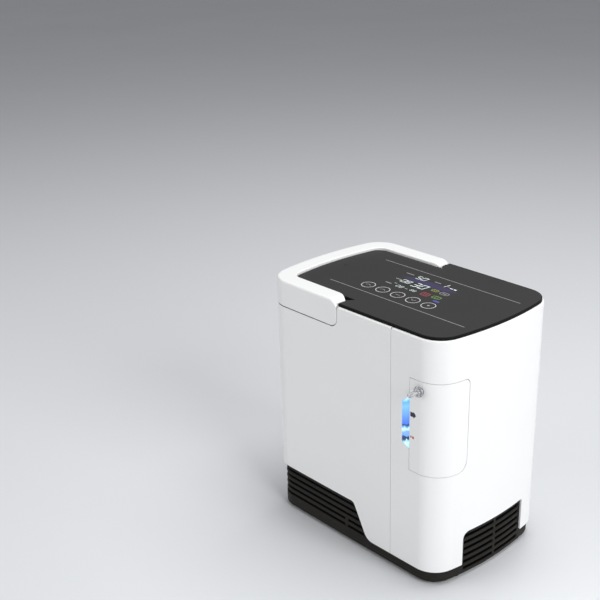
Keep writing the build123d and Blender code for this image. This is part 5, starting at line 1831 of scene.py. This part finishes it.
@dataclass(frozen=True)
class Studio:
    """Camera, lights, world and floor."""

    azimuth: float = 48.705
    elevation: float = 21.43
    roll: float = -1.304
    position: tuple[float, float, float] = (0.82496, -0.88169, 0.76609)
    lens: float = 66.964
    sensor: float = 36.0
    floor_reach: float = 30.0
    sky: Colour = (0.97, 0.975, 1.0)
    sky_strength: float = 0.30

    def camera(self) -> None:
        """Camera that looks down at the front right corner, turned about its own axis by the roll."""
        a, e, r = (math.radians(value) for value in (self.azimuth, self.elevation, self.roll))
        back = Vector((math.sin(a) * math.cos(e), -math.cos(a) * math.cos(e), math.sin(e)))
        level = Vector((math.cos(a), math.sin(a), 0))
        upright = back.cross(level)
        right = math.cos(r) * level + math.sin(r) * upright
        up = math.cos(r) * upright - math.sin(r) * level
        data = bpy.data.cameras.new("view")
        data.lens, data.sensor_width = self.lens, self.sensor
        made = bpy.data.objects.new("view", data)
        turned_to = Matrix((right, up, back)).transposed().to_4x4()
        made.matrix_world = Matrix.Translation(self.position) @ turned_to
        bpy.context.scene.collection.objects.link(made)
        bpy.context.scene.camera = made

    def lamp(self, name: str, place: Colour, aim_z: float, size: float, power: float, tint: Colour) -> None:
        """Add a square area light that faces a point above the middle of the floor.

        Args:
            name: the light's name.
            place: where it is.
            aim_z: height of the point that it faces.
            size: length of its sides.
            power: its watts.
            tint: its colour.
        """
        data = bpy.data.lights.new(name, "AREA")
        data.size, data.energy, data.color = size, power, tint
        made = bpy.data.objects.new(name, data)
        made.location = place
        made.rotation_euler = (Vector((0, 0, aim_z)) - Vector(place)).to_track_quat("-Z", "Y").to_euler()
        bpy.context.scene.collection.objects.link(made)

    def floor(self) -> None:
        """Broad pale floor: a flat square grid with even sides."""
        even = np.linspace(-self.floor_reach, self.floor_reach, 31)
        u, v = np.meshgrid(even, even)
        number = np.arange(u.size).reshape(u.shape)
        corners = [number[:-1, :-1], number[:-1, 1:], number[1:, 1:], number[1:, :-1]]
        quads = np.stack(corners, axis=-1).reshape(-1, 4)
        mesh = bpy.data.meshes.new("floor")
        mesh.from_pydata(np.column_stack([u.ravel(), v.ravel(), 0 * u.ravel()]).tolist(), [], quads.tolist())
        mesh.materials.append(FLOOR.material())
        made = bpy.data.objects.new("floor", mesh)
        bpy.context.scene.collection.objects.link(made)

    def build(self) -> None:
        """Set up the whole studio."""
        self.camera()
        self.floor()
        self.lamp("key", (2.1, -0.25, 1.2), 0.15, 1.3, 40, (1.0, 0.995, 0.98))
        self.lamp("top", (0.1, 0.5, 2.2), 0.2, 1.6, 34, (1.0, 0.997, 0.99))
        self.lamp("fill", (-1.3, -2.2, 1.0), 0.15, 1.8, 23, (1.0, 0.99, 0.972))
        world = bpy.data.worlds.new("studio")
        world.use_nodes = True
        background = world.node_tree.nodes["Background"].inputs
        background["Color"].default_value = (*self.sky, 1)
        background["Strength"].default_value = self.sky_strength
        bpy.context.scene.world = world
        bpy.context.scene.view_settings.view_transform = "Standard"


def main() -> None:
    """Load the frame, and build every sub-assembly in order."""
    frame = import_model()
    Studio().build()
    Inside(frame).build()
    layout = Layout.measured()
    case = WhiteCase(layout)
    case.build()
    Base(layout, case).build()
    CarryHandle(layout).build()
    TouchPanel(layout).build()
    Humidifier(layout, case).build()
    RearWall(layout, case).build()


if __name__ == "__main__":
    main()
